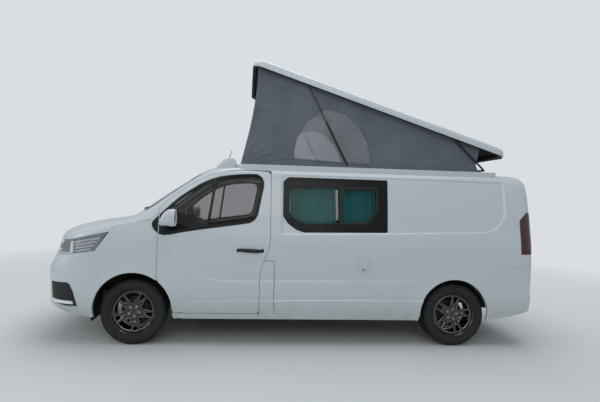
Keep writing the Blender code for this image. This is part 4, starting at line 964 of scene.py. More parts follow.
mouth = [(-0.50, 0.455), (0.50, 0.455), (0.54, 0.610), (-0.54, 0.610)]
mouth_outline = end_outline(rounded(mouth, 0.03), "front")
bumper = lay_panel("front_bumper", [
    np.concatenate((across(bumper_end[0, 0], over_line(LOW_LINE), 110), bumper_end[1:],
                    across(bumper_end[-1, 0], over_line(BUMPER_LINE), 90)[::-1][1:-1],
                    mirrored(bumper_end)[::-1][:-1])),
    bezel_outline(-1), bezel_outline(1), mouth_outline], cell=0.026, wall=0.030,
    materials=(paint, grain))
mount(bumper, "root", "paint", "front_bumper")
for label, side in SIDES:
    bezel = lay_panel("fog_bezel_" + label, [bezel_outline(side)], cell=0.03, wall=0.008,
                      lift=-0.020, materials=(grain,))
    mount(bezel, "root", "black_plastic")
mouth_back = lay_panel("lower_grille", [mouth_outline], cell=0.05, wall=0.006, lift=-0.040,
                       materials=(grain,))
mount(mouth_back, "root", "black_plastic")


# --- Grille and headlamps ---------------------------------
# A gloss black grille between the lamps, with bright cross bars. Each lamp is a clear
# cover over a dark housing with stacked bright blades and one round projector.
bright = new_material("satin_chromed_plastic", "#C9CCD0", 0.22, metallic=1.0)
clear = new_material("clear_polycarbonate", "#DDE4EA", 0.04, alpha=0.16)
lamp_edge_a = from_side([(-1.983, 1.190)], 1)[0, 0]
lamp_foot_a = from_side([(-2.1265, 0.9905)], 1)[0, 0]
grille_a = from_end([(0.500, 1.000)], "front")[0, 0]
lamp_gap = 0.0035


def lamp_line(lift, start, end, count=40):
    """A line across the lamp, a share of the way from its lower to its upper edge."""
    a = np.linspace(start, end, count)
    low = cut_at(a, over_line(BUMPER_LINE, lamp_gap))
    top = cut_at(a, over_line(BONNET_LINE, -lamp_gap))
    return np.stack((a, low[:, 1] + (top[:, 1] - low[:, 1]) * lift), axis=-1)


def lamp_band(low, high, start, end, count=40):
    """The outline of a band between two shares of the lamp's height."""
    return np.concatenate((lamp_line(low, start, end, count),
                           lamp_line(high, end, start, count)))


grille = lay_panel("grille", [lamp_band(0.0, 1.0, -grille_a, grille_a)], cell=0.04,
                   wall=0.010, lift=-0.012, materials=(black_trim,))
mount(grille, "root", "black_plastic", "grille")
for row, share in enumerate((0.16, 0.50, 0.84)):
    bar = lay_panel("grille_bar_%d" % row, [lamp_band(share - 0.05, share + 0.05,
                                                      -grille_a * 0.98, grille_a * 0.98)],
                    cell=0.05, wall=0.014, lift=0.002, materials=(bright,))
    mount(bar, "root", "aluminium")
for label, side in SIDES:
    foot = lamp_line(0.0, grille_a + 0.004, lamp_foot_a)
    top_a = np.linspace(lamp_edge_a, grille_a + 0.004, 50)
    crown = cut_at(top_a, over_line(BONNET_LINE, -lamp_gap))
    outline = sided(np.concatenate((foot, crown)), side)
    housing = lay_panel("lamp_housing_" + label, [outline], cell=0.04, wall=0.010,
                        lift=-0.040, materials=(black_trim,))
    cover = lay_panel("headlamp_cover_" + label, [outline], cell=0.03, wall=0.004,
                      materials=(clear,))
    mount(housing, "root", "lamp")
    mount(cover, "root", "lamp", "headlamp_" + label)


# --- Cab frame and windscreen -----------------------------
# Scuttle, windscreen pillars and header in one painted frame, with a bonded laminated
# windscreen that has a black printed border.
roof_front_x = -1.020
SCREEN = ((-0.826, 1.422), (-0.587, 1.403), (0.587, 1.403), (0.826, 1.422), (0.782, 1.576),
          (0.699, 1.822), (0.645, 1.846), (-0.645, 1.846), (-0.699, 1.822), (-0.782, 1.576))
frame_side = ((wing_rear_x, 1.3085), (wing_rear_x, 1.4594), (-1.3745, 1.5697),
              (-1.1927, 1.7042), (roof_front_x, 1.8020))
frame_end = side_line(frame_side, 1, 0.03)
frame_foot = from_side([(-1.872, 1.3085)], 1)
frame_outline = np.concatenate((
    across(frame_foot[0, 0], lambda p: p[..., 0] - bonnet_rear_x - 0.006), frame_end,
    across(frame_end[-1, 0], lambda p: p[..., 0] - roof_front_x)[::-1][1:-1],
    mirrored(frame_end)[::-1]))
screen_outline = end_outline(rounded(SCREEN, 0.06), "front")
cab_frame = lay_panel("cab_frame", [frame_outline, screen_outline], cell=0.026, wall=0.045,
                      materials=(paint, felt), edge_radius=0.0012)
mount(cab_frame, "root", "paint", "cab_frame")
screen_glass = new_material("laminated_windscreen_glass", "#141A1C", 0.03,
                            alpha=0.32)
pane_outline = end_outline(grown(rounded(SCREEN, 0.06), -0.004), "front")
border_outline = end_outline(grown(rounded(SCREEN, 0.06), -0.050), "front")
screen_border = lay_panel("screen_border", [pane_outline, border_outline], cell=0.04,
                          wall=0.005, lift=-0.004, materials=(black_trim,))
screen = lay_panel("windscreen", [border_outline], cell=0.05, wall=0.005, lift=-0.0045,
                   materials=(screen_glass,))
mount(screen_border, "root", "black_plastic")
mount(screen, "root", "glass", "windscreen")


# --- Roof -------------------------------------------------
# Painted steel roof skin, welded to the sides and the rear frame, round the opening under
# the tent.
rear_seam_x = 2.4646
tail_middle = 2.999
opening_half, opening_front, opening_rear = 0.56, -0.60, 2.30
roof_line = ((rear_seam_x, 1.8932), (-0.300, 1.8932), (-0.620, 1.8930), (-0.803, 1.8760),
             (-0.984, 1.8240), (roof_front_x, 1.8030))
roof_side = side_line(roof_line, 1, 0.03)
tail_a = np.linspace(tail_middle, roof_side[0, 0], 30)
roof_tail = cut_at(tail_a, lambda p: rear_seam_x - p[..., 0])
inner_a = np.linspace(tail_middle, -tail_middle, 240)
roof_inner = cut_at(inner_a, lambda p: np.minimum(np.minimum(
    opening_half - np.abs(p[..., 1]), p[..., 0] - opening_front), opening_rear - p[..., 0]))
roof_outline = np.concatenate((
    mirrored(roof_tail), mirrored(roof_side)[1:],
    across(roof_side[-1, 0], lambda p: p[..., 0] - roof_front_x)[1:-1],
    roof_side[::-1], roof_tail[::-1][1:], roof_inner))
roof = lay_panel("roof", [roof_outline], cell=0.032, wall=0.030, materials=(paint, felt),
                 edge_radius=0.0012)
mount(roof, "root", "paint", "roof")


# --- Rear corners, tail lamps and tailgate ----------------
# Painted corners and header round one wide lifting tailgate with a heated window. The
# upright tail lamps wrap the corners under dark red covers.
TAILGATE = ((-0.782, 0.910), (0.782, 0.910), (0.782, 1.497), (0.748, 1.773), (0.719, 1.848),
            (0.675, 1.8676), (-0.675, 1.8676), (-0.719, 1.848), (-0.748, 1.773),
            (-0.782, 1.497))
GATE_GLASS = ((-0.685, 1.261), (0.685, 1.261), (0.699, 1.497), (0.650, 1.773),
              (0.626, 1.797), (-0.626, 1.797), (-0.650, 1.773), (-0.699, 1.497))
gate_gap = 0.006
lamp_front = ((2.508, 1.038), (2.508, 1.412), (2.598, 1.507))
seam_side = side_line(((2.4056, 0.8932), (2.4650, 1.8925)), 1, 0.03)
header_a = np.linspace(seam_side[-1, 0], tail_middle, 30)
header = cut_at(header_a, lambda p: rear_seam_x + 0.0004 - p[..., 0])
foot_a = np.linspace(tail_middle, seam_side[0, 0], 40)
foot = cut_at(foot_a, lambda p: p[..., 2] - 0.8932)
rear_outline = np.concatenate((seam_side, header[1:], mirrored(header)[::-1][1:],
                               mirrored(seam_side)[::-1][1:], mirrored(foot)[::-1][1:],
                               foot[1:-1]))
edge_y = 0.782 + gate_gap
half_hole = np.concatenate((
    from_end([(0.0, 0.904), (0.40, 0.904), (edge_y, 0.904), (edge_y, 1.038)], "rear"),
    side_line(lamp_front, 1, 0.03),
    from_end([(edge_y, 1.507), (0.754, 1.775), (0.724, 1.853), (0.676, 1.8736),
              (0.30, 1.8736)], "rear")))
rear_hole = np.concatenate((half_hole, mirrored(half_hole)[::-1][:-1]))
rear_frame = lay_panel("rear_frame", [rear_outline, rear_hole], rear=True, cell=0.03,
                       wall=0.045, materials=(paint, felt), edge_radius=0.0015)
mount(rear_frame, "root", "paint", "rear_frame")
red_lens = new_material("dark_red_acrylic", "#3A0508", 0.08, coat_weight=0.8)
for label, side in SIDES:
    outline = np.concatenate((
        from_end([(0.786, 1.503), (0.786, 1.042)], "rear"),
        side_line(((2.511, 1.041), (2.511, 1.411), (2.600, 1.503)), 1, 0.03)))
    lamp = lay_panel("tail_lamp_" + label, [sided(outline, side)],
                     rear=True, cell=0.03, wall=0.030, lift=0.004, materials=(red_lens,),
                     edge_radius=0.004)
    mount(lamp, "root", "red_lamp", "tail_lamp_" + label)
gate_outline = end_outline(rounded(TAILGATE, 0.03), "rear")
gate_glass_outline = end_outline(rounded(GATE_GLASS, 0.05), "rear")
gate = lay_panel("tailgate", [gate_outline, gate_glass_outline], rear=True, cell=0.028,
                 wall=wall, rebate=0.020, materials=(paint, felt))
mount(gate, "tailgate", "paint", "tailgate")
gate_pane_edge = grown(rounded(GATE_GLASS, 0.05), -0.003)
gate_pane = lay_panel("tailgate_glass", [end_outline(gate_pane_edge, "rear")], rear=True,
                      cell=0.04, wall=0.004, lift=-0.003, materials=(glass,))
mount(gate_pane, "tailgate", "glass", "tailgate_glass")


# --- Rear bumper ------------------------------------------
# Painted plastic bumper, clipped on under the tailgate. It runs from one rear arch round
# the tail to the other.
REAR_LOW_LINE = ((2.050, 0.291), (2.135, 0.299), (2.409, 0.342), (2.592, 0.395),
                 (2.800, 0.420))
bumper_side = side_line(arc(rear_arch_x, arch_middle_z, arch_radius_rear, -9.5, 41.8)
                        + [(2.132, 0.670), (2.266, 0.739), (2.359, 0.797),
                           (2.384, 0.885)], 1, 0.03)
top_a = np.linspace(bumper_side[-1, 0], tail_middle, 40)
bumper_top = cut_at(top_a, lambda p: p[..., 2] - 0.889)
low_a = np.linspace(tail_middle, bumper_side[0, 0], 50)
bumper_low = cut_at(low_a, over_line(REAR_LOW_LINE))
rear_bumper = lay_panel("rear_bumper", [np.concatenate((
    bumper_side, bumper_top[1:], mirrored(bumper_top)[::-1][1:],
    mirrored(bumper_side)[::-1][1:], mirrored(bumper_low)[::-1][1:], bumper_low[1:-1]))],
    rear=True, cell=0.03, wall=0.030, materials=(paint, grain))
mount(rear_bumper, "root", "paint", "rear_bumper")


# --- Side windows -----------------------------------------
# Left: one black-bordered glass with a clear front pane and a framed sliding pane. Right:
# the sliding door's tinted glass.
FIXED_PANE = ((-0.096, 1.43), (-0.096, 1.715, 0.03), (0.440, 1.722, 0.02),
              (0.440, 1.326, 0.02), (0.080, 1.320, 0.08), (-0.030, 1.352, 0.06))
SLIDING_PANE = ((0.462, 1.724, 0.03), (0.884, 1.736, 0.03), (0.880, 1.470, 0.06),
                (0.764, 1.334, 0.06), (0.462, 1.326, 0.03))
fixed_pane = rounded(FIXED_PANE, 0.02)
sliding_pane = rounded(SLIDING_PANE, 0.02)
border = lay_panel("side_window_border", [
    side_outline(grown(window_outline, -0.003), -1),
    side_outline(fixed_pane, -1), side_outline(sliding_pane, -1)], cell=0.05,
    wall=0.005, lift=0.001, materials=(black_trim,))
mount(border, "root", "glass", "side_window")
frame_ring = lay_panel("sliding_pane_frame", [
    side_outline(grown(sliding_pane, 0.002), -1),
    side_outline(grown(sliding_pane, -0.016), -1)], cell=0.05, wall=0.009, lift=0.004,
    materials=(grain,))
mount(frame_ring, "root", "black_plastic")
for name, pane, lift in (("fixed_pane", fixed_pane, -0.005),
                         ("sliding_pane", sliding_pane, -0.009)):
    piece = lay_panel(name, [side_outline(grown(pane, 0.004), -1)], cell=0.06,
                      wall=0.004, lift=lift, materials=(glass,))
    mount(piece, "root", "glass")
slider_border = lay_panel("sliding_door_glass_border", [
    side_outline(grown(slider_glass_outline, -0.003), 1),
    side_outline(grown(slider_glass_outline, -0.045), 1)], cell=0.05, wall=0.005,
    lift=0.001, materials=(black_trim,))
mount(slider_border, "root", "black_plastic")
slider_pane = lay_panel("sliding_door_pane", [
    side_outline(grown(slider_glass_outline, -0.041), 1)], cell=0.06, wall=0.004,
    lift=-0.005, materials=(glass,))
mount(slider_pane, "root", "glass", "sliding_door_glass")


# --- Curtains ---------------------------------------------
# Two turquoise cotton curtains behind the left window, on an aluminium rail. Each is
# gathered on the rail by a casing sewn along its top.
curtain_cloth = new_material("turquoise_curtain_cotton", "#1F9C9C", 0.9)
colour_between(curtain_cloth, grain_noise(curtain_cloth, 300.0, 2.0), "#178C8E", "#27AFAC")


def inner_y(x, z, depth):
    """Places on the left, depth metres inside the body's surface."""
    return -side_y(np.asarray(x, float), np.asarray(z, float))[0] + depth


def closed_sheet(name, grid, thickness, material):
    """A thin closed sheet from a grid of points, thickened to both sides of the grid."""
    grid = np.asarray(grid, float)
    rows, columns = grid.shape[:2]
    along = np.gradient(grid, axis=0)
    aside = np.gradient(grid, axis=1)
    normal = np.cross(along, aside)
    normal /= np.maximum(np.linalg.norm(normal, axis=-1), 1e-12)[..., None]
    vertices = np.concatenate(((grid + normal * thickness / 2).reshape(-1, 3),
                               (grid - normal * thickness / 2).reshape(-1, 3)))
    size = rows * columns
    number = np.arange(size).reshape(rows, columns)
    faces = []
    for i in range(rows - 1):
        for j in range(columns - 1):
            quad = (number[i, j], number[i + 1, j], number[i + 1, j + 1], number[i, j + 1])
            faces.append(tuple(int(q) for q in quad))
            faces.append(tuple(int(q) + size for q in quad[::-1]))
    rim = [*number[0], *number[1:, -1], *number[-1, -2::-1], *number[-2:0:-1, 0]]
    for first, second in zip(rim, rim[1:] + rim[:1]):
        faces.append((int(first), int(second), int(second) + size, int(first) + size))
    made = add_piece(name, vertices, faces, material)
    made.data.shade_smooth()
    return made


curtain_low, curtain_top = 1.262, 1.770
curtain_depth = 0.078
cotton_thickness = 0.0014
rail_z = curtain_top + 0.012
rail_points = [(x, float(inner_y([x], [rail_z], curtain_depth)[0]), rail_z)
               for x in (-0.10, 0.94)]


def through_rings(count, size, closed):
    """Faces through rings of equal size, capped at both ends or joined into a loop."""
    faces = []
    for i in range(count if closed else count - 1):
        j = (i + 1) % count
        faces += [(i * size + k, i * size + (k + 1) % size, j * size + (k + 1) % size,
                   j * size + k) for k in range(size)]
    if not closed:
        faces += [tuple(range(size))[::-1], tuple(range((count - 1) * size, count * size))]
    return faces


def tube(name, points, radius, material, sides=10, closed=False):
    """A round bar through points, with flat closed ends."""
    points = [Vector(p) for p in points]
    count = len(points)
    vertices = []
    side_way = None
    for i, point in enumerate(points):
        before = points[i - 1] if closed or i else point
        after = points[(i + 1) % count] if closed or i < count - 1 else point
        along = (after - before).normalized()
        if side_way is None:
            side_way = along.orthogonal().normalized()
        side_way = (side_way - along * side_way.dot(along)).normalized()
        other = along.cross(side_way)
        size = radius[i] if hasattr(radius, "__len__") else radius
        for k in range(sides):
            angle = 2 * math.pi * k / sides
            vertices.append(point + side_way * math.cos(angle) * size
                            + other * math.sin(angle) * size)
    made = add_piece(name, vertices, through_rings(count, sides, closed), material)
    smooth_shade(made, 40)
    return made


alloy_tube = new_material("anodised_aluminium", "#B9BCBF", 0.35, metallic=1.0)
rail = tube("curtain_rail", rail_points, 0.005, alloy_tube)
mount(rail, "root", "aluminium")
for label, start, end, folds in (("front", -0.085, 0.425, 11), ("rear", 0.455, 0.925, 10)):
    rows, columns = 26, folds * 12 + 1
    u = np.linspace(0.0, 1.0, columns)[None, :]
    v = np.linspace(0.0, 1.0, rows)[:, None]
    sway = 0.010 * np.sin(2 * math.pi * (u * 2.3 + 0.15)) * (1 - v)
    ripple = 0.004 * np.sin(2 * math.pi * folds * u * 2) * (1 - v)
    x = start + (end - start) * u + sway + ripple
    z = curtain_low + (curtain_top - curtain_low) * v + 0 * u
    swing = (0.0085 + 0.004 * np.sin(7 * u + 1.3)) * (0.75 + 0.25 * v)
    fold = np.sin(2 * math.pi * folds * u + 0.8 * np.sin(5 * u + 2.0 * v))
    casing = 1.0 - 0.35 * np.exp(-((v - 0.96) / 0.03) ** 2)
    y = inner_y(x, z, curtain_depth) + swing * fold * casing
    curtain = closed_sheet("curtain_" + label, np.stack((x, y, z), axis=-1),
                           cotton_thickness, curtain_cloth)
    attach(curtain, "root")
    length = float(np.linalg.norm(np.diff(np.stack((x, y), axis=-1)[rows // 2], axis=0),
                                  axis=1).sum())
    if label == "front":
        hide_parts("curtain")


# --- Tyres ------------------------------------------------
# All-terrain tyres: 54 pitches of lugs that reach over the shoulder, three zigzag grooves
# and plain sidewalls.
rubber = new_material("tyre_rubber", "#17181A", 0.78)
colour_between(rubber, grain_noise(rubber, 14.0, 8.0), "#121315", "#25262A")
# Columns: distance from the middle plane, radius, share of the lug grooves' depth
TREAD_ROWS = ((0.0950, 0.2265, 0.0), (0.0962, 0.2380, 0.0), (0.1010, 0.2440, 0.0),
              (0.1080, 0.2480, 0.0), (0.1095, 0.2560, 0.0), (0.1110, 0.2575, 0.0),
              (0.1150, 0.2700, 0.0), (0.1172, 0.2850, 0.0), (0.1172, 0.2990, 0.0),
              (0.1155, 0.3080, 0.0), (0.1150, 0.3095, 0.5), (0.1125, 0.3200, 0.9),
              (0.1060, 0.3320, 1.0), (0.0990, 0.3385, 1.0), (0.0900, 0.3415, 1.0),
              (0.0660, 0.3430, 0.9), (0.0645, 0.3350, 0.0), (0.0565, 0.3350, 0.0),
              (0.0550, 0.3430, 0.9), (0.0300, 0.3430, 0.7), (0.0285, 0.3350, 0.0),
              (0.0215, 0.3350, 0.0), (0.0200, 0.3430, 0.7), (0.0000, 0.3430, 0.0))
PITCHES = 54
lug_depth = 0.0078
zigzag_reach = 0.0035
PITCH_PLACES = (0.0, 0.035, 0.22, 0.255, 0.50, 0.76)
PITCH_DEPTHS = (0.0, 1.0, 1.0, 0.0, 0.0, 0.0)
rows = np.array(TREAD_ROWS)
rows = np.concatenate((rows, (rows * (-1, 1, 1))[-2::-1]))
turn = np.array([(i + place) for i in range(PITCHES) for place in PITCH_PLACES]) / PITCHES
depth = np.tile(PITCH_DEPTHS, PITCHES)
# The lugs lean, and those of the inner half stand half a pitch behind
slant = np.where(rows[:, 0] > 0, 0.0, 0.5) + rows[:, 0] / 0.118 * 0.8
zigzag = zigzag_reach * np.sin(turn * PITCHES * 2 * math.pi)[:, None] * (
    np.abs(rows[:, 0]) < 0.080)[None, :]
angle = 2 * math.pi * (turn[:, None] + slant[None, :] / PITCHES)
radius = rows[None, :, 1] - lug_depth * depth[:, None] * rows[None, :, 2]
place_y = rows[None, :, 0] + zigzag - 0.004 * np.sign(rows[None, :, 0]) * depth[:, None] * (
    rows[None, :, 2] * (np.abs(rows[None, :, 0]) > 0.1))
tyre_points = np.stack((radius * np.cos(angle), place_y + 0 * angle, radius * np.sin(angle)),
                       axis=-1)


def wrapped_faces(turns, lanes):
    """Faces of a grid of points that closes both ways round."""
    number = np.arange(turns * lanes).reshape(turns, lanes)
    after = np.roll(number, -1, axis=0)
    faces = []
    for j in range(lanes):
        m = (j + 1) % lanes
        faces += [tuple(int(q) for q in quad)
                  for quad in zip(number[:, j], number[:, m], after[:, m], after[:, j])]
    return faces


tyre = add_piece("tyre_form", tyre_points.reshape(-1, 3), wrapped_faces(*tyre_points.shape[:2]),
                 rubber)
smooth_shade(tyre, 38)


# --- Rims -------------------------------------------------
# 17-inch cast wheels, gloss black, with five twin spokes that fork near the rim. Their
# edges are machined bright. Five bolts and a plain cap.
rim_paint = new_material("gloss_black_wheel_paint", "#0A0B0C", 0.22, coat_weight=0.7,
                         coat_roughness=0.08)
machined = new_material("diamond_cut_aluminium", "#9EA1A6", 0.25, metallic=1.0)
SPOKES = 5
face_radius = 0.216
bolt_circle = 0.056
disc_depth = 0.030
# Columns: radius, place along the axle, in the front face and round the barrel's section
FACE_PROFILE = ((0.000, 0.060), (0.075, 0.064), (0.120, 0.072), (0.180, 0.080),
                (0.214, 0.086), (0.230, 0.090))
BARREL = ((0.2385, 0.1030), (0.2345, 0.1035), (0.2300, 0.0990), (0.2225, 0.0900),
          (0.2150, 0.0600), (0.2050, 0.0300), (0.1980, 0.0000), (0.1980, -0.0400),
          (0.2060, -0.0700), (0.2140, -0.0900), (0.2250, -0.1000), (0.2345, -0.1035),
          (0.2385, -0.1030), (0.2385, -0.0955), (0.2262, -0.0945), (0.2160, -0.0700),
          (0.2050, -0.0400), (0.2050, 0.0000), (0.2130, 0.0300), (0.2230, 0.0600),
          (0.2262, 0.0945), (0.2385, 0.0955))


def lathe(profile, steps=96):
    """Vertices and faces of a ring turned about Y from closed (radius, place) points."""
    angle = np.linspace(0, 2 * math.pi, steps, endpoint=False)[:, None]
    ring = np.array(profile)
    points = np.stack((ring[None, :, 0] * np.cos(angle), ring[None, :, 1] + 0 * angle,
                       ring[None, :, 0] * np.sin(angle)), axis=-1)
    return points.reshape(-1, 3), wrapped_faces(steps, len(ring))


def spoke_window(middle, near, spread, round_out=0.012):
    """The outline of one opening between spokes, as (x, z) points."""
    corners = [(near, 0.0), (near + 0.030, spread * 0.55), (0.150, spread * 0.86),
               (0.200, spread), (0.204, spread * 0.5), (0.205, 0.0)]
    full = corners + [(r, -t) for r, t in corners[::-1] if t > 0]
    points = [(r * math.cos(math.radians(middle + t)), r * math.sin(math.radians(middle + t)))
              for r, t in full]
    return rounded(points, round_out, 0.008)


face_edge = [(face_radius * math.cos(2 * math.pi * i / 120),
              face_radius * math.sin(2 * math.pi * i / 120)) for i in range(120)]
windows = []
for i in range(SPOKES):
    windows.append(spoke_window(90 + 72 * i, 0.079, 24.0))
    windows.append(spoke_window(126 + 72 * i, 0.094, 8.8, round_out=0.006))
profile_r, profile_y = np.array(FACE_PROFILE).T
loops = [turned_right(face_edge, True)] + [turned_right(loop, False) for loop in windows]
found, triangles, numbers = fill_pattern(loops, 0.012)
reach = np.hypot(found[:, 0], found[:, 1])
dish = np.interp(reach, profile_r, profile_y)
dish -= 0.006 * np.exp(-((reach - 0.098) / 0.020) ** 2)
# The front face, and what each face is made of: painted (0) or machined (1)
vertices = [np.stack((found[:, 0], dish, found[:, 1]), axis=-1)]
faces = [tuple(int(n) for n in row[::-1]) for row in triangles]
kinds = [0] * len(faces)
count = len(found)
first = 0
back_rings = []
# Each edge of the face has a bright bevel, and then the wall of the opening behind it
for loop in loops:
    ring = [int(n) for n in numbers[first:first + len(loop)]]
    before, after = np.roll(loop, 1, axis=0), np.roll(loop, -1, axis=0)
    tangent = after - before
    tangent /= np.linalg.norm(tangent, axis=1)[:, None]
    out = np.stack((tangent[:, 1], -tangent[:, 0]), axis=1)
    height = np.interp(np.hypot(loop[:, 0], loop[:, 1]), profile_r, profile_y)
    for spread, drop, kind in ((0.0030, 0.0024, 1), (0.0040, 0.024, 0),
                               (0.0036, disc_depth, 0)):
        moved = loop + out * spread
        vertices.append(np.stack((moved[:, 0], height - drop, moved[:, 1]), axis=-1))
        fresh = list(range(count, count + len(loop)))
        count += len(loop)
        for k in range(len(loop)):
            m = (k + 1) % len(loop)
            faces.append((ring[k], ring[m], fresh[m], fresh[k]))
            kinds.append(kind)
        ring = fresh
    back_rings.append((ring, first, loop + out * 0.0036))
    first += len(loop)
# The back of the disc, with its own rings joined to the walls
back = found.copy()
for ring, start, moved in back_rings:
    back[numbers[start:start + len(moved)]] = moved
back_y = np.interp(np.hypot(found[:, 0], found[:, 1]), profile_r, profile_y) - disc_depth
vertices.append(np.stack((back[:, 0], back_y, back[:, 1]), axis=-1))
faces += [tuple(int(n) + count for n in row) for row in triangles]
kinds += [0] * len(triangles)
for ring, start, moved in back_rings:
    size = len(ring)
    for k in range(size):
        m = (k + 1) % size
        faces.append((ring[k], ring[m], int(numbers[start + m]) + count,
                      int(numbers[start + k]) + count))
        kinds.append(0)
vertices = list(np.concatenate(vertices))


def face_outwards(made, weld=0.0):
    """All faces turned outwards, once points nearer than weld are joined."""
    form = bmesh.new()
    form.from_mesh(made.data)
    if weld:
        bmesh.ops.remove_doubles(form, verts=form.verts, dist=weld)
    bmesh.ops.recalc_face_normals(form, faces=form.faces)
    form.to_mesh(made.data)
    form.free()


def join_in(points, more_faces, kind):
    """More points and faces of the rim, painted (0) or machined (1)."""
    start = len(vertices)
    vertices.extend(points)
    faces.extend(tuple(n + start for n in face) for face in more_faces)
    kinds.extend([kind] * len(more_faces))


# The barrel, the cap and the bright ring round the cap
join_in(*lathe(BARREL[::-1]), 0)
join_in(*lathe(((0.001, 0.064), (0.026, 0.064), (0.030, 0.060), (0.030, 0.050),
                (0.001, 0.050)), 48), 0)
join_in(*lathe(((0.030, 0.060), (0.033, 0.0655), (0.036, 0.0655), (0.038, 0.058),
                (0.038, 0.050), (0.030, 0.050)), 48), 1)
# Hexagonal bolts on their round seats
for i in range(SPOKES):
    angle = math.radians(54 + 72 * i)
    middle = (bolt_circle * math.cos(angle), bolt_circle * math.sin(angle))
    for sides, size, low, high in ((6, 0.0100, 0.050, 0.069), (16, 0.0125, 0.050, 0.0645)):
        ring = [(middle[0] + size * math.cos(2 * math.pi * k / sides),
                 middle[1] + size * math.sin(2 * math.pi * k / sides)) for k in range(sides)]
        points = [(x, low, z) for x, z in ring] + [(x, high, z) for x, z in ring]
        side_faces = [(k, k + sides, (k + 1) % sides + sides, (k + 1) % sides)
                      for k in range(sides)]
        ends = [tuple(range(sides)), tuple(range(sides, 2 * sides))[::-1]]
        join_in(points, side_faces + ends, 1)
rim = add_piece("rim_form", vertices, faces, rim_paint, machined)
for face, kind in zip(rim.data.polygons, kinds):
    face.material_index = kind
face_outwards(rim, weld=1e-6)
smooth_shade(rim, 32)
# Columns: end, axle's place, half track, how far the wheels have rolled in degrees
for end, axle_x, track_half, rolled in (("front", front_axle_x, 0.8075, 7.0),
                                        ("rear", rear_axle_x, 0.814, 24.0)):
    for label, side in SIDES:
        spot = (Matrix.Translation((axle_x, side * track_half, wheel_radius))
                @ Matrix.Rotation(0.0 if side > 0 else math.pi, 4, "Z")
                @ Matrix.Rotation(math.radians(rolled), 4, "Y"))
        for kind, source, slot_name in (("tyre", tyre, "tyre"), ("rim", rim, "alloy")):
            piece = bpy.data.objects.new("%s_piece_%s_%s" % (kind, end, label),
                                         source.data.copy())
            piece.data.transform(spot)
            bpy.context.scene.collection.objects.link(piece)
            mount(piece, "wheel_%s_%s" % (end, label), slot_name,
                  "%s_%s_%s" % (kind, end, label))
for source in (tyre, rim):
    bpy.data.objects.remove(source)


# --- Pop-up roof shell ------------------------------------
# Moulded white shell with a stepped edge and a flat crown, black rubber seal and a grey
# lined pocket below. It is modelled closed and then turned open about its pole.
pop_front_x, pop_rear_x, pop_half = -0.685, 2.445, 0.775
pop_bottom = 1.966
pop_pole = (3.00089, 0.0, 2.04446)
pop_degrees = 17.5
pop_turn = (Matrix.Translation(pop_pole) @ Matrix.Rotation(math.radians(pop_degrees), 4, "Y")
            @ Matrix.Translation([-c for c in pop_pole]))


def plan_ring(inset, z, front_x=pop_front_x, rear_x=pop_rear_x, half=pop_half):
    """Points round a rectangle with round corners, always as many."""
    corner, steps, straight = 0.120, 12, 14
    radius = max(corner - inset * 0.5, 0.012)
    made = []
    middles = ((rear_x - inset - radius, half - inset - radius, 0),
               (front_x + inset + radius, half - inset - radius, 90),
               (front_x + inset + radius, -half + inset + radius, 180),
               (rear_x - inset - radius, -half + inset + radius, 270))
    for middle_x, middle_y, start in middles:
        for i in range(steps + 1):
            angle = math.radians(start + 90 * i / steps)
            made.append((middle_x + radius * math.cos(angle),
                         middle_y + radius * math.sin(angle)))
    full = []
    for i, point in enumerate(made):
        after = made[(i + 1) % len(made)]
        count = straight if i % (steps + 1) == steps else 1
        full += [(point[0] + (after[0] - point[0]) * k / count,
                  point[1] + (after[1] - point[1]) * k / count, z) for k in range(count)]
    return full


def stacked(name, rings, *materials, closed=False):
    """A closed form through rings, capped at both ends or joined into a loop."""
    faces = through_rings(len(rings), len(rings[0]), closed)
    made = add_piece(name, [p for ring in rings for p in ring], faces, *materials)
    face_outwards(made)
    smooth_shade(made, 26)
    return made


def box_ring(x, y, half_x, half_y, z):
    """The four corners of a level rectangle round (x, y)."""
    return [(x + sx * half_x, y + sy * half_y, z)
            for sx, sy in ((-1, -1), (1, -1), (1, 1), (-1, 1))]


# Columns: inset from the shell's edge, height over its foot
SHELL_PROFILE = ((0.030, 0.058), (0.030, 0.002), (0.026, 0.0), (0.003, 0.0), (0.0, 0.003),
                 (0.0, 0.034), (0.002, 0.037), (0.006, 0.039), (0.007, 0.042), (0.009, 0.058),
                 (0.014, 0.070), (0.024, 0.080), (0.040, 0.088), (0.062, 0.0935),
                 (0.110, 0.098), (0.200, 0.1005), (0.320, 0.1020), (0.340, 0.0985),
                 (0.420, 0.0985), (0.440, 0.1028), (0.560, 0.1038), (0.700, 0.1040))
shell = stacked("pop_top_shell", [plan_ring(inset, pop_bottom + rise)
                                  for inset, rise in SHELL_PROFILE], paint)
shell.data.transform(pop_turn)
mount(shell, "pop_top", "paint", "pop_top")
seal_rubber = new_material("epdm_seal_rubber", "#0D0E0F", 0.7)
SEAL_PROFILE = ((0.004, 0.001), (0.030, 0.001), (0.031, -0.004), (0.026, -0.006),
                (0.010, -0.006), (0.004, -0.004))
seal_ring = stacked("pop_top_seal", [plan_ring(inset, pop_bottom + rise)
                                     for inset, rise in SEAL_PROFILE],
                    seal_rubber, closed=True)
seal_ring.data.transform(pop_turn)
mount(seal_ring, "pop_top", "black_plastic")
lining_cloth = new_material("grey_headliner_fleece", "#3A3D40", 0.95)
LINING_PROFILE = ((0.0305, 0.012), (0.034, 0.012), (0.038, 0.050), (0.060, 0.0545),
                  (0.060, 0.0575), (0.0305, 0.0575))
headliner = stacked("pop_top_lining", [plan_ring(inset, pop_bottom + rise)
                                       for inset, rise in LINING_PROFILE],
                    lining_cloth, closed=True)
headliner.data.transform(pop_turn)
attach(headliner, "pop_top")
ceiling = stacked("pop_top_ceiling", [plan_ring(0.060, pop_bottom + 0.0542),
                                      plan_ring(0.060, pop_bottom + 0.0576)], lining_cloth)
ceiling.data.transform(pop_turn)
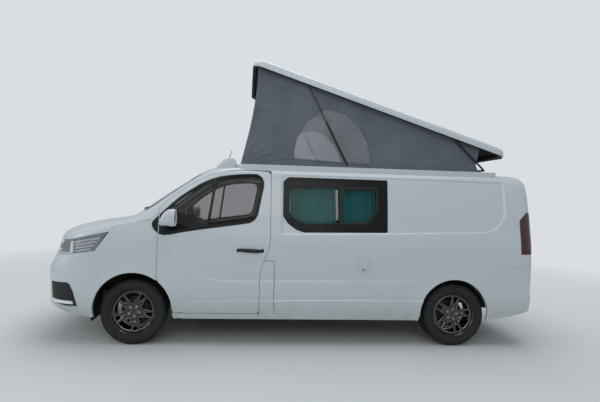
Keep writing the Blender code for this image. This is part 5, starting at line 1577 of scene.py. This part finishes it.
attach(ceiling, "pop_top")
for label, side in SIDES:
    for kind, x, rise in (("stay", -0.040, 0.029), ("lever", 1.760, 0.024)):
        bracket = stacked("roof_bracket_%s_%s" % (kind, label), [
            box_ring(x, side * 0.742, half_x, 0.004, pop_bottom + z) for z, half_x in
            ((rise - 0.012, 0.009), (rise - 0.004, 0.014), (rise + 0.010, 0.018),
             (0.0575, 0.024))], seal_rubber)
        bracket.data.transform(pop_turn)
        mount(bracket, "pop_top", "steel")


# --- Roof frame -------------------------------------------
# White coated aluminium frame, bonded on round the roof opening. It carries the tent and
# the feet of the stays and the lever, on small black brackets.
frame_white = new_material("white_powder_coat", "#C3CACF", 0.5)
FRAME_PROFILE = ((0.000, -0.004), (0.002, -0.001), (0.006, 0.000), (0.052, 0.000),
                 (0.058, -0.002), (0.060, -0.006), (0.060, -0.050), (0.000, -0.050))


def surface_height(x, y):
    """The height of the body's surface under plan points, beside the roof's crown."""
    low, high = np.full(len(x), 1.60), np.full(len(x), 1.943)
    for _ in range(18):
        middle = (low + high) / 2
        inside = side_y(x, middle)[0] > np.abs(y)
        low = np.where(inside, middle, low)
        high = np.where(inside, high, middle)
    return (low + high) / 2


frame_top = 1.958
frame_rings = []
for inset, rise in FRAME_PROFILE:
    ring = np.array(plan_ring(inset, frame_top + rise, -0.680, 2.350, 0.800))
    if rise < -0.04:
        ring[:, 2] = np.minimum(surface_height(ring[:, 0], ring[:, 1]) - 0.004, 1.935)
    frame_rings.append([tuple(p) for p in ring])
roof_frame = stacked("tent_frame", frame_rings, frame_white, closed=True)
mount(roof_frame, "root", "aluminium", "roof_frame")
for label, side in SIDES:
    for kind, x in (("stay", 0.576), ("lever", 2.200)):
        foot = stacked("frame_bracket_%s_%s" % (kind, label), [
            box_ring(x, side * 0.741, half_x, 0.005, z) for z, half_x in
            ((1.944, 0.030), (1.9530, 0.027), (1.9555, 0.020), (1.9570, 0.014))], seal_rubber)
        mount(foot, "root", "steel")


# --- Gas stays and rear lever -----------------------------
# Black gas stays with blackened rods between the frame and the shell's front, and a black
# steel lever across the rear.
black_steel = new_material("black_powder_coated_steel", "#101113", 0.42)
lug_y, lug_z = 0.722, 1.985
stay_foot = Vector((0.576, lug_y, lug_z))
stay_eye = Vector((0.08587, lug_y, 2.91170))
along = (stay_eye - stay_foot).normalized()
stay_length = (stay_eye - stay_foot).length
for label, side in SIDES:
    foot = stay_foot * Vector((1.0, side, 1.0))
    spots = (0.000, 0.002, 0.545, 0.556, 0.560)
    cylinder = tube("stay_cylinder_piece_" + label, [foot + along * d for d in spots],
                    (0.009, 0.011, 0.011, 0.0105, 0.0075), black_steel, 20)
    mount(cylinder, "stay_cylinder_" + label, "black_plastic", "stay_cylinder_" + label)
    cuff = tube("stay_eye_piece_" + label,
                [foot + along * (stay_length - d) for d in (0.040, 0.038, 0.014, 0.004, 0.0)],
                (0.006, 0.008, 0.008, 0.010, 0.008), black_steel, 16)
    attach(cuff, "stay_rod_" + label)
    shaft = tube("stay_rod_piece_" + label,
                 [foot + along * 0.470, foot + along * (stay_length - 0.020)], 0.0052,
                 black_steel, 14)
    mount(shaft, "stay_rod_" + label, "steel", "stay_rod_" + label)
lever_x = 2.200
lever = tube("rear_lever_bar", [(lever_x, -lug_y, lug_z), (lever_x, lug_y, lug_z)], 0.0115,
             black_steel, 16)
mount(lever, "rear_lever", "steel", "rear_lever")
for index, side in enumerate((-1, 1)):
    base = Vector((lever_x, side * lug_y, lug_z))
    tip = Vector((1.80105, side * lug_y, 2.36566))
    arm = tube("rear_lever_arm_%d" % index,
               [base, base.lerp(tip, 0.04), tip.lerp(base, 0.04), tip],
               (0.008, 0.0105, 0.0105, 0.008), black_steel, 12)
    mount(arm, "rear_lever", "steel")


# --- Tent -------------------------------------------------
# Coated grey canvas between the frame and the shell, creased from its lower front corner,
# with an arched clear window in each side.
canvas = new_material("coated_tent_canvas", "#646B76", 0.88)
colour_between(canvas, grain_noise(canvas, 5.0, 7.0), "#565C65", "#737A84")
raise_by(canvas, grain_noise(canvas, 900.0, 1.0), 0.2, 0.0008)
film = new_material("clear_vinyl_film", "#989FA6", 0.18, alpha=0.45)


def opened(x, z):
    """A side-view point of the closed roof, once the roof is open."""
    moved = pop_turn @ Vector((x, 0.0, z))
    return (moved.x, moved.z)


tent_half = 0.699
tent_top = 2.0185
tent_base = 1.9585
top_front, top_rear = opened(-0.632, tent_top), opened(2.120, tent_top)
FRONT_EDGE = [(-0.645, tent_base), (-0.612, 2.10), (-0.566, 2.30), (-0.527, 2.50),
              (-0.497, 2.70), (-0.478, 2.88), top_front]
REAR_EDGE = [top_rear, (2.135, 2.13), (2.105, 2.06), (2.150, tent_base)]
tent_outline = spaced(FRONT_EDGE, 0.04) + spaced(REAR_EDGE, 0.04)
tent_outline = spaced(tent_outline + [tent_outline[0]], 0.04)[:-1]
ARCHED = ((-0.040, 2.045, 0.02), (-0.045, 2.16), (-0.010, 2.31), (0.085, 2.470),
          (0.230, 2.590), (0.390, 2.620), (0.560, 2.565), (0.700, 2.440), (0.795, 2.290),
          (0.840, 2.150), (0.850, 2.010, 0.02))
arched = rounded(ARCHED, 0.06, 0.025)
# Creases: both ends, width and depth
CREASES = ((-0.62, 1.97, -0.40, 2.36, 0.018, 0.013), (-0.61, 1.97, -0.25, 2.27, 0.016, 0.012),
           (-0.60, 1.97, -0.12, 2.17, 0.014, 0.010), (-0.58, 1.965, 0.02, 2.07, 0.014, 0.008),
           (-0.62, 1.98, -0.50, 2.47, 0.016, 0.009), (-0.55, 2.50, -0.20, 2.42, 0.030, 0.006),
           (-0.45, 2.62, 0.05, 2.52, 0.040, 0.006), (-0.30, 2.84, 0.50, 2.52, 0.060, 0.008),
           (0.76, 2.26, 0.98, 2.24, 0.014, 0.008), (0.76, 2.20, 1.02, 2.19, 0.012, 0.007),
           (0.90, 2.33, 1.60, 2.17, 0.050, 0.007), (1.20, 2.05, 1.90, 2.01, 0.030, 0.006),
           (1.55, 2.22, 2.05, 2.05, 0.022, 0.010), (1.75, 2.20, 2.10, 2.12, 0.018, 0.010),
           (1.90, 2.04, 2.12, 2.00, 0.014, 0.008), (0.78, 2.40, 1.30, 2.28, 0.050, 0.005),
           (-0.10, 2.05, 0.60, 2.01, 0.018, 0.006), (-0.40, 2.10, 0.00, 2.02, 0.016, 0.008))


def billow(x, z, seed=0.0):
    """How far the stretched cloth lies from its plane: creases, sag and small waves."""
    made = 0.004 * np.sin(3.1 * x + 5.0 * z + seed) + 0.003 * np.sin(9.0 * x - 6.0 * z + seed)
    for x0, z0, x1, z1, width, depth in CREASES:
        length = math.hypot(x1 - x0, z1 - z0)
        ux, uz = (x1 - x0) / length, (z1 - z0) / length
        share = ((x - x0) * ux + (z - z0) * uz) / length
        aside = (x - x0) * uz - (z - z0) * ux + 0.012 * np.sin(4.0 * share + seed)
        spread = width * (0.35 + 0.9 * np.clip(share, 0.0, 1.0))
        fade = ease(share / 0.10 + 0.3) * ease((1.0 - share) / 0.35)
        made += depth * fade * (np.exp(-(aside / spread) ** 2)
                                - 0.6 * np.exp(-((aside - 1.7 * spread) / spread) ** 2))
    return made


def cloth_wall(name, loops, place, thickness, cell, material):
    """A closed thin sheet over flat loops, put in space by place(u, v, out)."""
    patterns = [turned_right(loop, index == 0) for index, loop in enumerate(loops)]
    found, triangles, _ = fill_pattern(patterns, cell)
    rim = {}
    for a, b, c in triangles:
        for first, second in ((a, b), (b, c), (c, a)):
            rim[(int(first), int(second))] = rim.get((int(first), int(second)), 0) + 1
    open_edges = [edge for edge in rim if (edge[1], edge[0]) not in rim]
    count = len(found)
    vertices = np.concatenate((place(found[:, 0], found[:, 1], thickness / 2),
                               place(found[:, 0], found[:, 1], -thickness / 2)))
    faces = [tuple(int(n) for n in row) for row in triangles]
    faces += [tuple(int(n) + count for n in row[::-1]) for row in triangles]
    faces += [(b, a, a + count, b + count) for a, b in open_edges]
    made = add_piece(name, vertices, faces, material)
    face_outwards(made)
    made.data.shade_smooth()
    return made


def flat_area(loops):
    """The area inside the first outline and outside the others."""
    total = 0.0
    for index, loop in enumerate(loops):
        area = abs(signed_area(np.array(loop)))
        total += area if index == 0 else -area
    return total


tent_size = tuple(float(size) for size in np.ptp(np.array(tent_outline), axis=0))
tent_edge = np.array(tent_outline)
pane_hem = 0.012
cloth_thickness = 0.0012


def tent_edge_fade(x, z):
    """From 0 on the side wall's edge to 1 at 6 cm inside it."""
    return ease(np.clip(outline_distance(x, z, tent_edge) / 0.06, 0.0, 1.0))


def side_place(side, lift=0.0, waviness=1.0):
    """A place function for cloth_wall that lays the sheet along a side of the tent."""
    def place(x, z, out):
        wave = billow(x, z, 0.0 if side < 0 else 1.7) * tent_edge_fade(x, z) * waviness
        return np.stack((x, side * (tent_half + wave * 0.9 - 0.008 * tent_edge_fade(x, z)
                                    + lift + out), z), axis=-1)
    return place


for label, side in SIDES:
    wall_cloth = cloth_wall("tent_side_" + label, [tent_outline, arched],
                            side_place(side), cloth_thickness, 0.024, canvas)
    pane = cloth_wall("tent_window_" + label, [grown(arched, pane_hem)],
                      side_place(side, -0.0022, 1.6), 0.0006, 0.022, film)
    binding = cloth_wall("tent_binding_" + label, [grown(arched, 0.014), grown(arched, -0.004)],
                         side_place(side, 0.0016), cloth_thickness, 0.03, canvas)
    for piece in (wall_cloth, pane, binding):
        mount(piece, "root", "tent_cloth")
        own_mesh(piece)
    flat_area([tent_outline, arched])
    flat_area([grown(arched, pane_hem)])
for name, run, out_way in (("tent_front", np.array(spaced(FRONT_EDGE, 0.04)), -1),
                           ("tent_rear", np.array(spaced(REAR_EDGE[::-1], 0.03)), 1)):
    length = np.concatenate(([0.0], np.cumsum(np.hypot(*np.diff(run, axis=0).T))))
    top = float(length[-1])
    sheet_outline = dense([(-tent_half, 0.0), (tent_half, 0.0), (tent_half, top),
                           (-tent_half, top)], 0.04)

    def place(y, v, out, run=run, length=length, out_way=out_way, top=top):
        edge = ease(np.minimum(np.minimum(v, top - v), tent_half - np.abs(y)) / 0.08)
        wave = (0.010 * np.sin(4 * y + 3.0 * v) + 0.006 * np.sin(11 * y - 7 * v)) * edge
        x = np.interp(v, length, run[:, 0]) + out_way * (wave - 0.020 * edge + out)
        return np.stack((x, y, np.interp(v, length, run[:, 1])), axis=-1)

    piece = cloth_wall(name, [sheet_outline], place, cloth_thickness, 0.03, canvas)
    mount(piece, "root", "tent_cloth")
    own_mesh(piece)
    if name == "tent_front":
        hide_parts("tent")


# --- Roof fairing and aerial ------------------------------
# White moulded fairing ahead of the pop-up roof, bonded to the roof skin. A short aerial
# rod in a rubber sheath leans back from its middle.
FAIRING = ((-0.915, 1.872), (-0.914, 1.915), (-0.900, 1.935), (-0.868, 1.966), (-0.832, 2.000),
           (-0.800, 2.014), (-0.762, 2.0195), (-0.728, 2.016), (-0.708, 1.996),
           (-0.700, 1.960), (-0.700, 1.900))
fairing_rings = []
for share in (-1.0, -0.995, -0.97, -0.92, -0.85, -0.70, -0.35, 0.0, 0.35, 0.70, 0.85, 0.92,
              0.97, 0.995, 1.0):
    y = 0.690 * share
    size = 1 - max(abs(share) - 0.70, 0.0) / 0.30 * 0.25
    size *= 0.995 if abs(share) == 1.0 else 1
    bow = 0.020 * (1 - share * share)
    ring = []
    for i, (x, z) in enumerate(FAIRING):
        back = (x + 0.700) * size - 0.700
        base = float(surface_height(np.array([back]), np.array([y]))[0]) - 0.006
        high = base + (z - 1.905) * size + 0.012 if 0 < i < len(FAIRING) - 1 else base
        ring.append((back - bow * (i < 6), y, max(high, base)))
    fairing_rings.append(ring)
fairing = stacked("roof_fairing_shell", fairing_rings, paint)
mount(fairing, "root", "paint", "roof_fairing")
# Columns: x, z, radius
AERIAL = ((-0.840, 1.985, 0.012), (-0.832, 2.010, 0.010), (-0.828, 2.022, 0.0045),
          (-0.800, 2.110, 0.0040), (-0.771, 2.200, 0.0035), (-0.7705, 2.204, 0.0022))
aerial = tube("roof_aerial", [(x, 0.0, z) for x, z, _ in AERIAL], [r for _, _, r in AERIAL],
              seal_rubber, 14)
mount(aerial, "root", "black_plastic")


# --- Door mirrors -----------------------------------------
# White painted caps over black grained feet and skirts, with the mirror glass set into
# the rear of each. They ride on the cab doors.
mirror_glass = new_material("mirror_glass", "#B7BCC0", 0.03, metallic=1.0)
# Columns: x, lowest z, highest z, inner and outer distance from the middle
CAP_ROWS = ((-1.4445, 1.288, 1.316, 1.020, 1.085), (-1.4425, 1.281, 1.330, 1.008, 1.103),
            (-1.4340, 1.275, 1.352, 0.998, 1.120), (-1.4180, 1.271, 1.385, 0.991, 1.131),
            (-1.3950, 1.268, 1.417, 0.987, 1.137), (-1.3600, 1.266, 1.440, 0.985, 1.140),
            (-1.3200, 1.266, 1.446, 0.985, 1.140), (-1.2950, 1.268, 1.444, 0.986, 1.139),
            (-1.2860, 1.271, 1.441, 0.988, 1.137), (-1.2850, 1.274, 1.438, 0.991, 1.134),
            (-1.2870, 1.280, 1.432, 0.997, 1.128), (-1.2980, 1.282, 1.430, 0.999, 1.126))


def round_ring(low, top, near, far):
    """Points round a rectangle with very round corners, as (y, z)."""
    made = []
    power = 0.80
    for k in range(40):
        angle = 2 * math.pi * k / 40
        c, n = math.cos(angle), math.sin(angle)
        made.append(((near + far) / 2 + (far - near) / 2 * math.copysign(abs(c) ** power, c),
                     (low + top) / 2 + (top - low) / 2 * math.copysign(abs(n) ** power, n)))
    return made


def round_steps(count):
    """Cosines and sines of count equal steps round a circle."""
    turns = np.linspace(0, 2 * math.pi, count, endpoint=False)
    return [(math.cos(a), math.sin(a)) for a in turns]


def skin_y(x, z):
    """The body's half width at one side-view point."""
    return float(side_y(np.array([x]), np.array([z]))[0][0])


for label, side in SIDES:
    body = "door_" + label
    cap = stacked("mirror_cap_" + label, [
        [(x, side * y, z) for y, z in round_ring(low, top, near, far)]
        for x, low, top, near, far in CAP_ROWS], paint)
    mount(cap, body, "paint", "mirror_" + label)
    pane = stacked("mirror_glass_" + label, [
        [(x, side * y, z) for y, z in round_ring(1.284, 1.428, 1.001, 1.124)]
        for x in (-1.2978, -1.2935)], mirror_glass)
    mount(pane, body, "glass")
    skirt = stacked("mirror_skirt_" + label, [
        [(x + long * c, side * (y + wide * n), z) for c, n in round_steps(32)]
        for x, long, y, wide, z in ((-1.372, 0.058, 1.058, 0.052, 1.290),
                                    (-1.372, 0.060, 1.056, 0.056, 1.268),
                                    (-1.374, 0.050, 1.050, 0.048, 1.2625))], grain)
    mount(skirt, body, "black_plastic")
    root_y = skin_y(-1.38, 1.282)
    foot = stacked("mirror_foot_" + label, [
        [(-1.382 + wide * c, side * y, 1.282 + tall * n) for c, n in round_steps(28)]
        for y, wide, tall in ((root_y - 0.006, 0.062, 0.026), (root_y + 0.008, 0.052, 0.022),
                              (1.000, 0.040, 0.0175), (1.030, 0.040, 0.0165))], grain)
    mount(foot, body, "black_plastic")


# --- Door handles -----------------------------------------
# Black grained pull handles on two round bosses, screwed through the skin of the cab doors
# and the sliding door.
# Columns: place along the handle, half height, half thickness, distance from the skin
HANDLE_ROWS = ((0.000, 0.009, 0.004, 0.0), (0.015, 0.014, 0.009, 0.008),
               (0.040, 0.0185, 0.011, 0.019), (0.085, 0.020, 0.011, 0.0245),
               (0.131, 0.0205, 0.011, 0.026), (0.177, 0.020, 0.011, 0.0245),
               (0.222, 0.0185, 0.011, 0.019), (0.247, 0.014, 0.009, 0.008),
               (0.262, 0.009, 0.004, 0.0))
for name, start_x, middle_z, side, body in (
        ("door_left_handle", -0.642, 1.024, -1, "door_left"),
        ("door_right_handle", -0.642, 1.024, 1, "door_right"),
        ("sliding_door_handle", -0.205, 1.060, 1, "root")):
    rings = []
    for run, tall, thick, out in HANDLE_ROWS:
        x, z = start_x + run, middle_z + 0.012 * (run / 0.131 - 1) * -0.4
        y = skin_y(x, z) - 0.002 + out
        rings.append([(x, side * (y + thick * c), z + tall * n) for c, n in round_steps(20)])
    handle = stacked(name, rings, grain)
    mount(handle, body, "black_plastic")
    for spot, size in ((start_x + 0.003, 0.017), (start_x + 0.259, 0.019)):
        y = skin_y(spot, middle_z)
        boss = stacked("%s_boss_%d" % (name, int(size * 1000)), [
            [(spot + r * c, side * (y + d), middle_z + r * 1.15 * n)
             for c, n in round_steps(24)]
            for r, d in ((size, -0.004), (size, 0.003), (size * 0.8, 0.0055))], grain)
        mount(boss, body, "black_plastic")


# --- Power inlet and fuel flap ----------------------------
# A white hinged plastic cover for mains power below the side window, and the dark seam
# that shows of the filler flap behind the cab door.
for name, outline, lift, radius in (
        ("power_inlet_frame", ((0.646, 0.980), (0.779, 0.980), (0.779, 0.823), (0.646, 0.823)),
         0.010, 0.014),
        ("power_inlet_lid", ((0.660, 0.968), (0.765, 0.968), (0.765, 0.838), (0.660, 0.838)),
         0.017, 0.010)):
    piece = lay_panel(name, [side_outline(rounded(outline, radius, 0.006), -1, 0.01)],
                      cell=0.02, wall=0.014, lift=lift, materials=(frame_white,),
                      edge_radius=0.002, plain=True)
    mount(piece, "root", "paint")
FLAP_SEAM = [(-0.362, 0.9185), (-0.2525, 0.9205), (-0.2445, 0.716), (-0.2465, 0.501),
             (-0.2345, 0.349), (-0.2375, 0.349), (-0.2495, 0.501), (-0.2475, 0.716),
             (-0.2555, 0.9175), (-0.362, 0.9155)]
flap_seam = lay_panel("fuel_flap_seam", [side_outline(FLAP_SEAM, -1, 0.03)], cell=0.05,
                      wall=0.001, lift=0.0006, materials=(grain,))
mount(flap_seam, "root", "black_plastic")
latch = tube("power_inlet_latch", [(0.7125, -0.998, 0.8445), (0.7125, -1.0025, 0.8445)],
             (0.008, 0.007), grain, 20)
mount(latch, "root", "black_plastic")


# --- Wheel arch liners ------------------------------------
# Black moulded plastic liners round the front wheels, screwed in under the wings. They
# stay clear of the tyres on full lock.
for label, side in SIDES:
    rings = []
    # Distance from the van's middle and radius, round the liner's section
    for y, radius in ((0.900, 0.4460), (0.560, 0.4460), (0.555, 0.4440), (0.555, 0.4420),
                      (0.560, 0.4410), (0.900, 0.4410)):
        rings.append([(front_axle_x + radius * math.cos(a), side * y,
                       arch_middle_z + radius * math.sin(a))
                      for a in np.radians(np.linspace(-6.0, 196.0, 72))])
    size = len(rings[0])
    count = len(rings)
    faces = []
    for i in range(count):
        j = (i + 1) % count
        faces += [(i * size + k, i * size + k + 1, j * size + k + 1, j * size + k)
                  for k in range(size - 1)]
    faces += [tuple(i * size for i in range(count)),
              tuple(i * size + size - 1 for i in range(count))[::-1]]
    liner = add_piece("front_liner_" + label, [p for ring in rings for p in ring], faces, grain)
    face_outwards(liner)
    smooth_shade(liner, 30)
    mount(liner, "root", "black_plastic")


# --- Lamp details -----------------------------------------
# Behind each clear cover: four bright blades, a daylight strip bent round a projector.
# An L-shaped light guide sits in each fog lamp bezel.
glow = new_material("frosted_light_guide", "#E8EDF1", 0.25)
lens_glass = new_material("projector_lens_glass", "#5B6670", 0.04, coat_weight=1.0)
blade_a = from_side([(-2.345, 1.060)], 1)[0, 0]
for label, side in SIDES:
    blades = [(0.13 + 0.20 * k, 0.050, blade_a, lamp_foot_a
               + (lamp_edge_a - lamp_foot_a) * (0.13 + 0.20 * k) - 0.045, bright)
              for k in range(4)]
    blades += [(0.075, 0.025, grille_a + 0.03, blade_a - 0.02, glow),
               (0.46, 0.40, blade_a - 0.045, blade_a - 0.022, glow)]
    for index, (share, half, start, stop, finish) in enumerate(blades):
        outline = lamp_band(share - half, share + half, start, stop, 20)
        piece = lay_panel("lamp_blade_%s_%d" % (label, index),
                          [sided(outline, side)], cell=0.05, wall=0.012,
                          lift=-0.014, materials=(finish,))
        mount(piece, "root", "aluminium")
    middle = lamp_line(0.52, grille_a + 0.115, grille_a + 0.125, 2)[0]
    spot = Vector(body_point(middle[0] * side, middle[1]))
    way = Vector(body_normal(np.array([middle[0] * side]), np.array([middle[1]]))[0])
    lens = tube("projector_" + label,
                [spot + way * d for d in (-0.046, -0.022, -0.013, -0.009)],
                (0.034, 0.034, 0.026, 0.010), lens_glass, 28)
    mount(lens, "root", "lamp")
    outline = np.concatenate((
        from_end([(side * 0.655, 0.600), (side * 0.677, 0.600), (side * 0.724, 0.452)],
                 "front"),
        from_side([(-2.352, 0.450), (-2.340, 0.424)], side),
        from_end([(side * 0.700, 0.424)], "front")))
    strip = lay_panel("fog_strip_" + label, [outline], cell=0.03, wall=0.014, lift=-0.006,
                      materials=(glow,))
    mount(strip, "root", "lamp")


# --- Wipers and tailgate fittings -------------------------
# Two wipers parked along the foot of the windscreen and one on the tailgate, which also
# has a black handle strip and a third brake lamp.
def on_end(y, z, out, end):
    """A point out metres in front of the nose, or behind the tail."""
    spot = from_end([(y, z)], end)
    return (Vector(body_point(spot[0, 0], spot[0, 1]))
            + Vector(body_normal(spot[:, 0], spot[:, 1])[0]) * out)


for label, start, end in (("left", -0.66, 0.02), ("right", 0.02, 0.62)):
    blade_points = [on_end(start + (end - start) * k / 14,
                           1.426 + 0.008 * math.sin(math.pi * k / 14), 0.006, "front")
                    for k in range(15)]
    blade = tube("wiper_blade_" + label, blade_points, 0.0065, seal_rubber, 8)
    pivot = on_end(end - 0.02, 1.388, 0.006, "front")
    above = Vector((-0.004, 0.0, 0.004))
    arm = tube("wiper_arm_" + label,
               [pivot, pivot.lerp(blade_points[7], 0.5) + above, blade_points[7] + above],
               (0.010, 0.007, 0.006), black_steel, 10)
    for piece in (blade, arm):
        mount(piece, "root", "black_plastic")
rear_blade = [on_end(-0.36 + 0.033 * k, 1.292 + 0.0006 * k, 0.012, "rear") for k in range(12)]
for name, points, radius, finish in (
        ("rear_wiper_blade", rear_blade, 0.0065, seal_rubber),
        ("rear_wiper_arm", [on_end(0.0, 1.246, 0.014, "rear"),
                            on_end(-0.09, 1.272, 0.024, "rear"), rear_blade[5]],
         (0.012, 0.008, 0.006), black_steel),
        ("rear_wiper_boss", [on_end(0.0, 1.246, d, "rear") for d in (-0.004, 0.010, 0.024)],
         (0.022, 0.020, 0.014), grain)):
    piece = tube(name, points, radius, finish, 14)
    mount(piece, "tailgate", "black_plastic")
for name, outline, lift, finish in (
        ("tailgate_handle", ((-0.210, 1.150), (0.210, 1.150), (0.210, 1.178), (-0.210, 1.178)),
         0.010, grain),
        ("third_brake_lamp", ((-0.160, 1.821), (0.160, 1.821), (0.160, 1.839), (-0.160, 1.839)),
         0.004, red_lens)):
    piece = lay_panel(name, [end_outline(rounded(outline, 0.007, 0.003), "rear")],
                      rear=True, cell=0.03, wall=0.012, lift=lift, materials=(finish,))
    mount(piece, "tailgate", "black_plastic")


# --- Bulkhead ---------------------------------------------
# Black sheet steel between the engine room and the cab, welded in below the scuttle and
# cut out over the gearbox.
top_y = np.linspace(0.860, -0.860, 31)
top_z = 1.300 - 0.060 * (top_y / 0.860) ** 2
sheet_edge = [(-0.860, 0.850), (-0.400, 0.850), (-0.400, 1.000), (0.400, 1.000),
              (0.400, 0.850), (0.860, 0.850)] + list(zip(top_y, top_z))
bulkhead = stacked("bulkhead", [[(x, y, z) for y, z in sheet_edge]
                                for x in (-1.8125, -1.8065)], black_steel)
mount(bulkhead, "root", "steel")


# --- Steering wheel ---------------------------------------
# A rim covered in black foam, with three spokes and a plain boss on the column's sleeve.
# It stands on the left, ahead of the left front seat.
soft_black = new_material("soft_touch_black", "#1B1C1E", 0.6)
steering_radius = 0.185
wheel_turn = (Matrix.Translation((-1.020, -0.420, 1.060))
              @ Matrix.Rotation(math.radians(62), 4, "Y"))
rim_points = [wheel_turn @ Vector((steering_radius * c, steering_radius * n, 0.0))
              for c, n in round_steps(64)]
wheel_rim = tube("steering_rim", rim_points, 0.0150, soft_black, 14, closed=True)
mount(wheel_rim, "root", "black_plastic", "steering_wheel")
for index, degrees in enumerate((90, 270, 0)):
    a = math.radians(degrees)
    spoke = tube("steering_spoke_%d" % index, [
        wheel_turn @ Vector((r * math.cos(a), r * math.sin(a), d))
        for r, d in ((0.030, -0.030), (0.090, -0.020), (0.178, 0.0))], (0.020, 0.014, 0.010),
        soft_black, 10)
    mount(spoke, "root", "black_plastic")
boss = tube("steering_boss", [wheel_turn @ Vector((0.0, 0.0, d))
                              for d in (0.004, -0.004, -0.050, -0.060, -0.225)],
            (0.050, 0.062, 0.062, 0.034, 0.034), soft_black, 28)
mount(boss, "root", "black_plastic")


# --- Seats and bench --------------------------------------
# Two front seats and a rear bench, upholstered in black woven cloth over foam. Cushions,
# backs and headrests stand on dark plastic boxes.
seat_cloth = new_material("woven_seat_cloth", "#232426", 0.92)
raise_by(seat_cloth, grain_noise(seat_cloth, 380.0, 2.0), 0.25, 0.001)


def cushion(name, low, high, lean=0.0, crown=0.014):
    """A crowned foam block between two corners, leaning back about its lower edge."""
    low, high = np.array(low), np.array(high)
    middle, half = (low + high) / 2, (high - low) / 2
    count, edge_radius = 14, 0.035
    lines = np.linspace(-1.0, 1.0, count + 1)
    lines = np.sign(lines) * (1 - (1 - np.abs(lines)) ** 1.5)
    vertices, index, faces = [], {}, []

    def point(u, v, w):
        key = (round(u, 6), round(v, 6), round(w, 6))
        if key not in index:
            p = np.array(key)
            rounding = np.minimum(edge_radius / half, 0.5)
            core = np.clip(p, -1 + rounding, 1 - rounding)
            off = (p - core) * half
            length = np.linalg.norm(off)
            radius = min(edge_radius, *(rounding * half))
            if length > 1e-9:
                off = off / length * min(length, radius)
            flat = core * half + off
            axis = int(np.argmax(np.abs(p)))
            swell = crown * np.prod([1 - abs(c) ** 3 for c in np.delete(p, axis)])
            flat[axis] += math.copysign(swell, p[axis])
            index[key] = len(vertices)
            vertices.append(flat + middle)
        return index[key]

    for axis in range(3):
        for face_side in (-1.0, 1.0):
            for i in range(count):
                for j in range(count):
                    corners = []
                    for di, dj in ((0, 0), (1, 0), (1, 1), (0, 1)):
                        place = [0.0, 0.0, 0.0]
                        place[axis] = face_side
                        place[(axis + 1) % 3] = lines[i + di]
                        place[(axis + 2) % 3] = lines[j + dj]
                        corners.append(point(*place))
                    faces.append(tuple(corners) if face_side > 0 else tuple(corners[::-1]))
    made = add_piece(name, vertices, faces, seat_cloth)
    made.data.transform(Matrix.Translation((high[0], 0.0, low[2]))
                        @ Matrix.Rotation(lean, 4, "Y")
                        @ Matrix.Translation((-high[0], 0.0, -low[2])))
    made.data.shade_smooth()
    return made


for label, side in SIDES:
    near, far = sorted((side * 0.205, side * 0.695))
    head_near, head_far = sorted((side * 0.320, side * 0.580))
    parts = (cushion("seat_base_" + label, (-0.985, near, 0.700), (-0.470, far, 0.840)),
             cushion("seat_back_" + label, (-0.560, near, 0.800), (-0.440, far, 1.340),
                     math.radians(13.0)),
             cushion("seat_head_" + label, (-0.415, head_near, 1.375),
                     (-0.305, head_far, 1.515), math.radians(8.0), 0.008))
    for piece in parts:
        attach(piece, "root")
    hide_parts("seat_" + label)
    pedestal = stacked("seat_pedestal_" + label, [
        [(x, y, z) for x, y in ((x0, near + 0.04), (x1, near + 0.04), (x1, far - 0.04),
                                (x0, far - 0.04))]
        for x0, x1, z in ((-0.940, -0.520, 0.4603), (-0.930, -0.530, 0.560),
                          (-0.960, -0.500, 0.700), (-0.960, -0.500, 0.705))], grain)
    mount(pedestal, "root", "seat_cloth")
parts = (cushion("bench_seat", (0.890, -0.425, 0.690), (1.340, 0.615, 0.835)),
         cushion("bench_back", (1.300, -0.425, 0.800), (1.420, 0.615, 1.330),
                 math.radians(14.0)))
for piece in parts:
    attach(piece, "root")
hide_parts("bench")
plinth = stacked("bench_plinth", [
    [(x, y, z) for x, y in ((0.905, -0.41), (1.310, -0.41), (1.310, 0.60), (0.905, 0.60))]
    for z in (0.4603, 0.690)], grain)
mount(plinth, "root", "seat_cloth")


# --- Frame pieces that stay -------------------------------
# The underside, the kitchen, the dashboard and the floor keep the frame's own solids, in
# finishes that suit them.
iron = new_material("sand_cast_iron", "#3B3A39", 0.75, metallic=0.6)
colour_between(iron, grain_noise(iron, 22.0, 8.0), "#2E2D2C", "#54483F")
e_coat = new_material("black_e_coat_steel", "#1D1E20", 0.5)
stainless = new_material("dull_exhaust_steel", "#8A8680", 0.42, metallic=1.0)
tank_plastic = new_material("moulded_tank_plastic", "#17181A", 0.55)
laminate = new_material("matt_grey_laminate", "#7C7E7F", 0.5)
underseal = new_material("rubberised_underseal", "#26282A", 0.85)
for node_name, material in (
        ("knuckle_left", iron), ("knuckle_right", iron), ("rear_axle", iron),
        ("engine", iron), ("front_subframe", e_coat), ("exhaust", stainless),
        ("fuel_tank", tank_plastic), ("kitchen", laminate), ("dashboard", soft_black),
        ("floor", underseal)):
    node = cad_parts[node_name]
    node.data.materials.clear()
    node.data.materials.append(material)


# --- Finish -----------------------------------------------
# The box round everything that is shown, apart from the backdrop, is measured.
low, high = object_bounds()
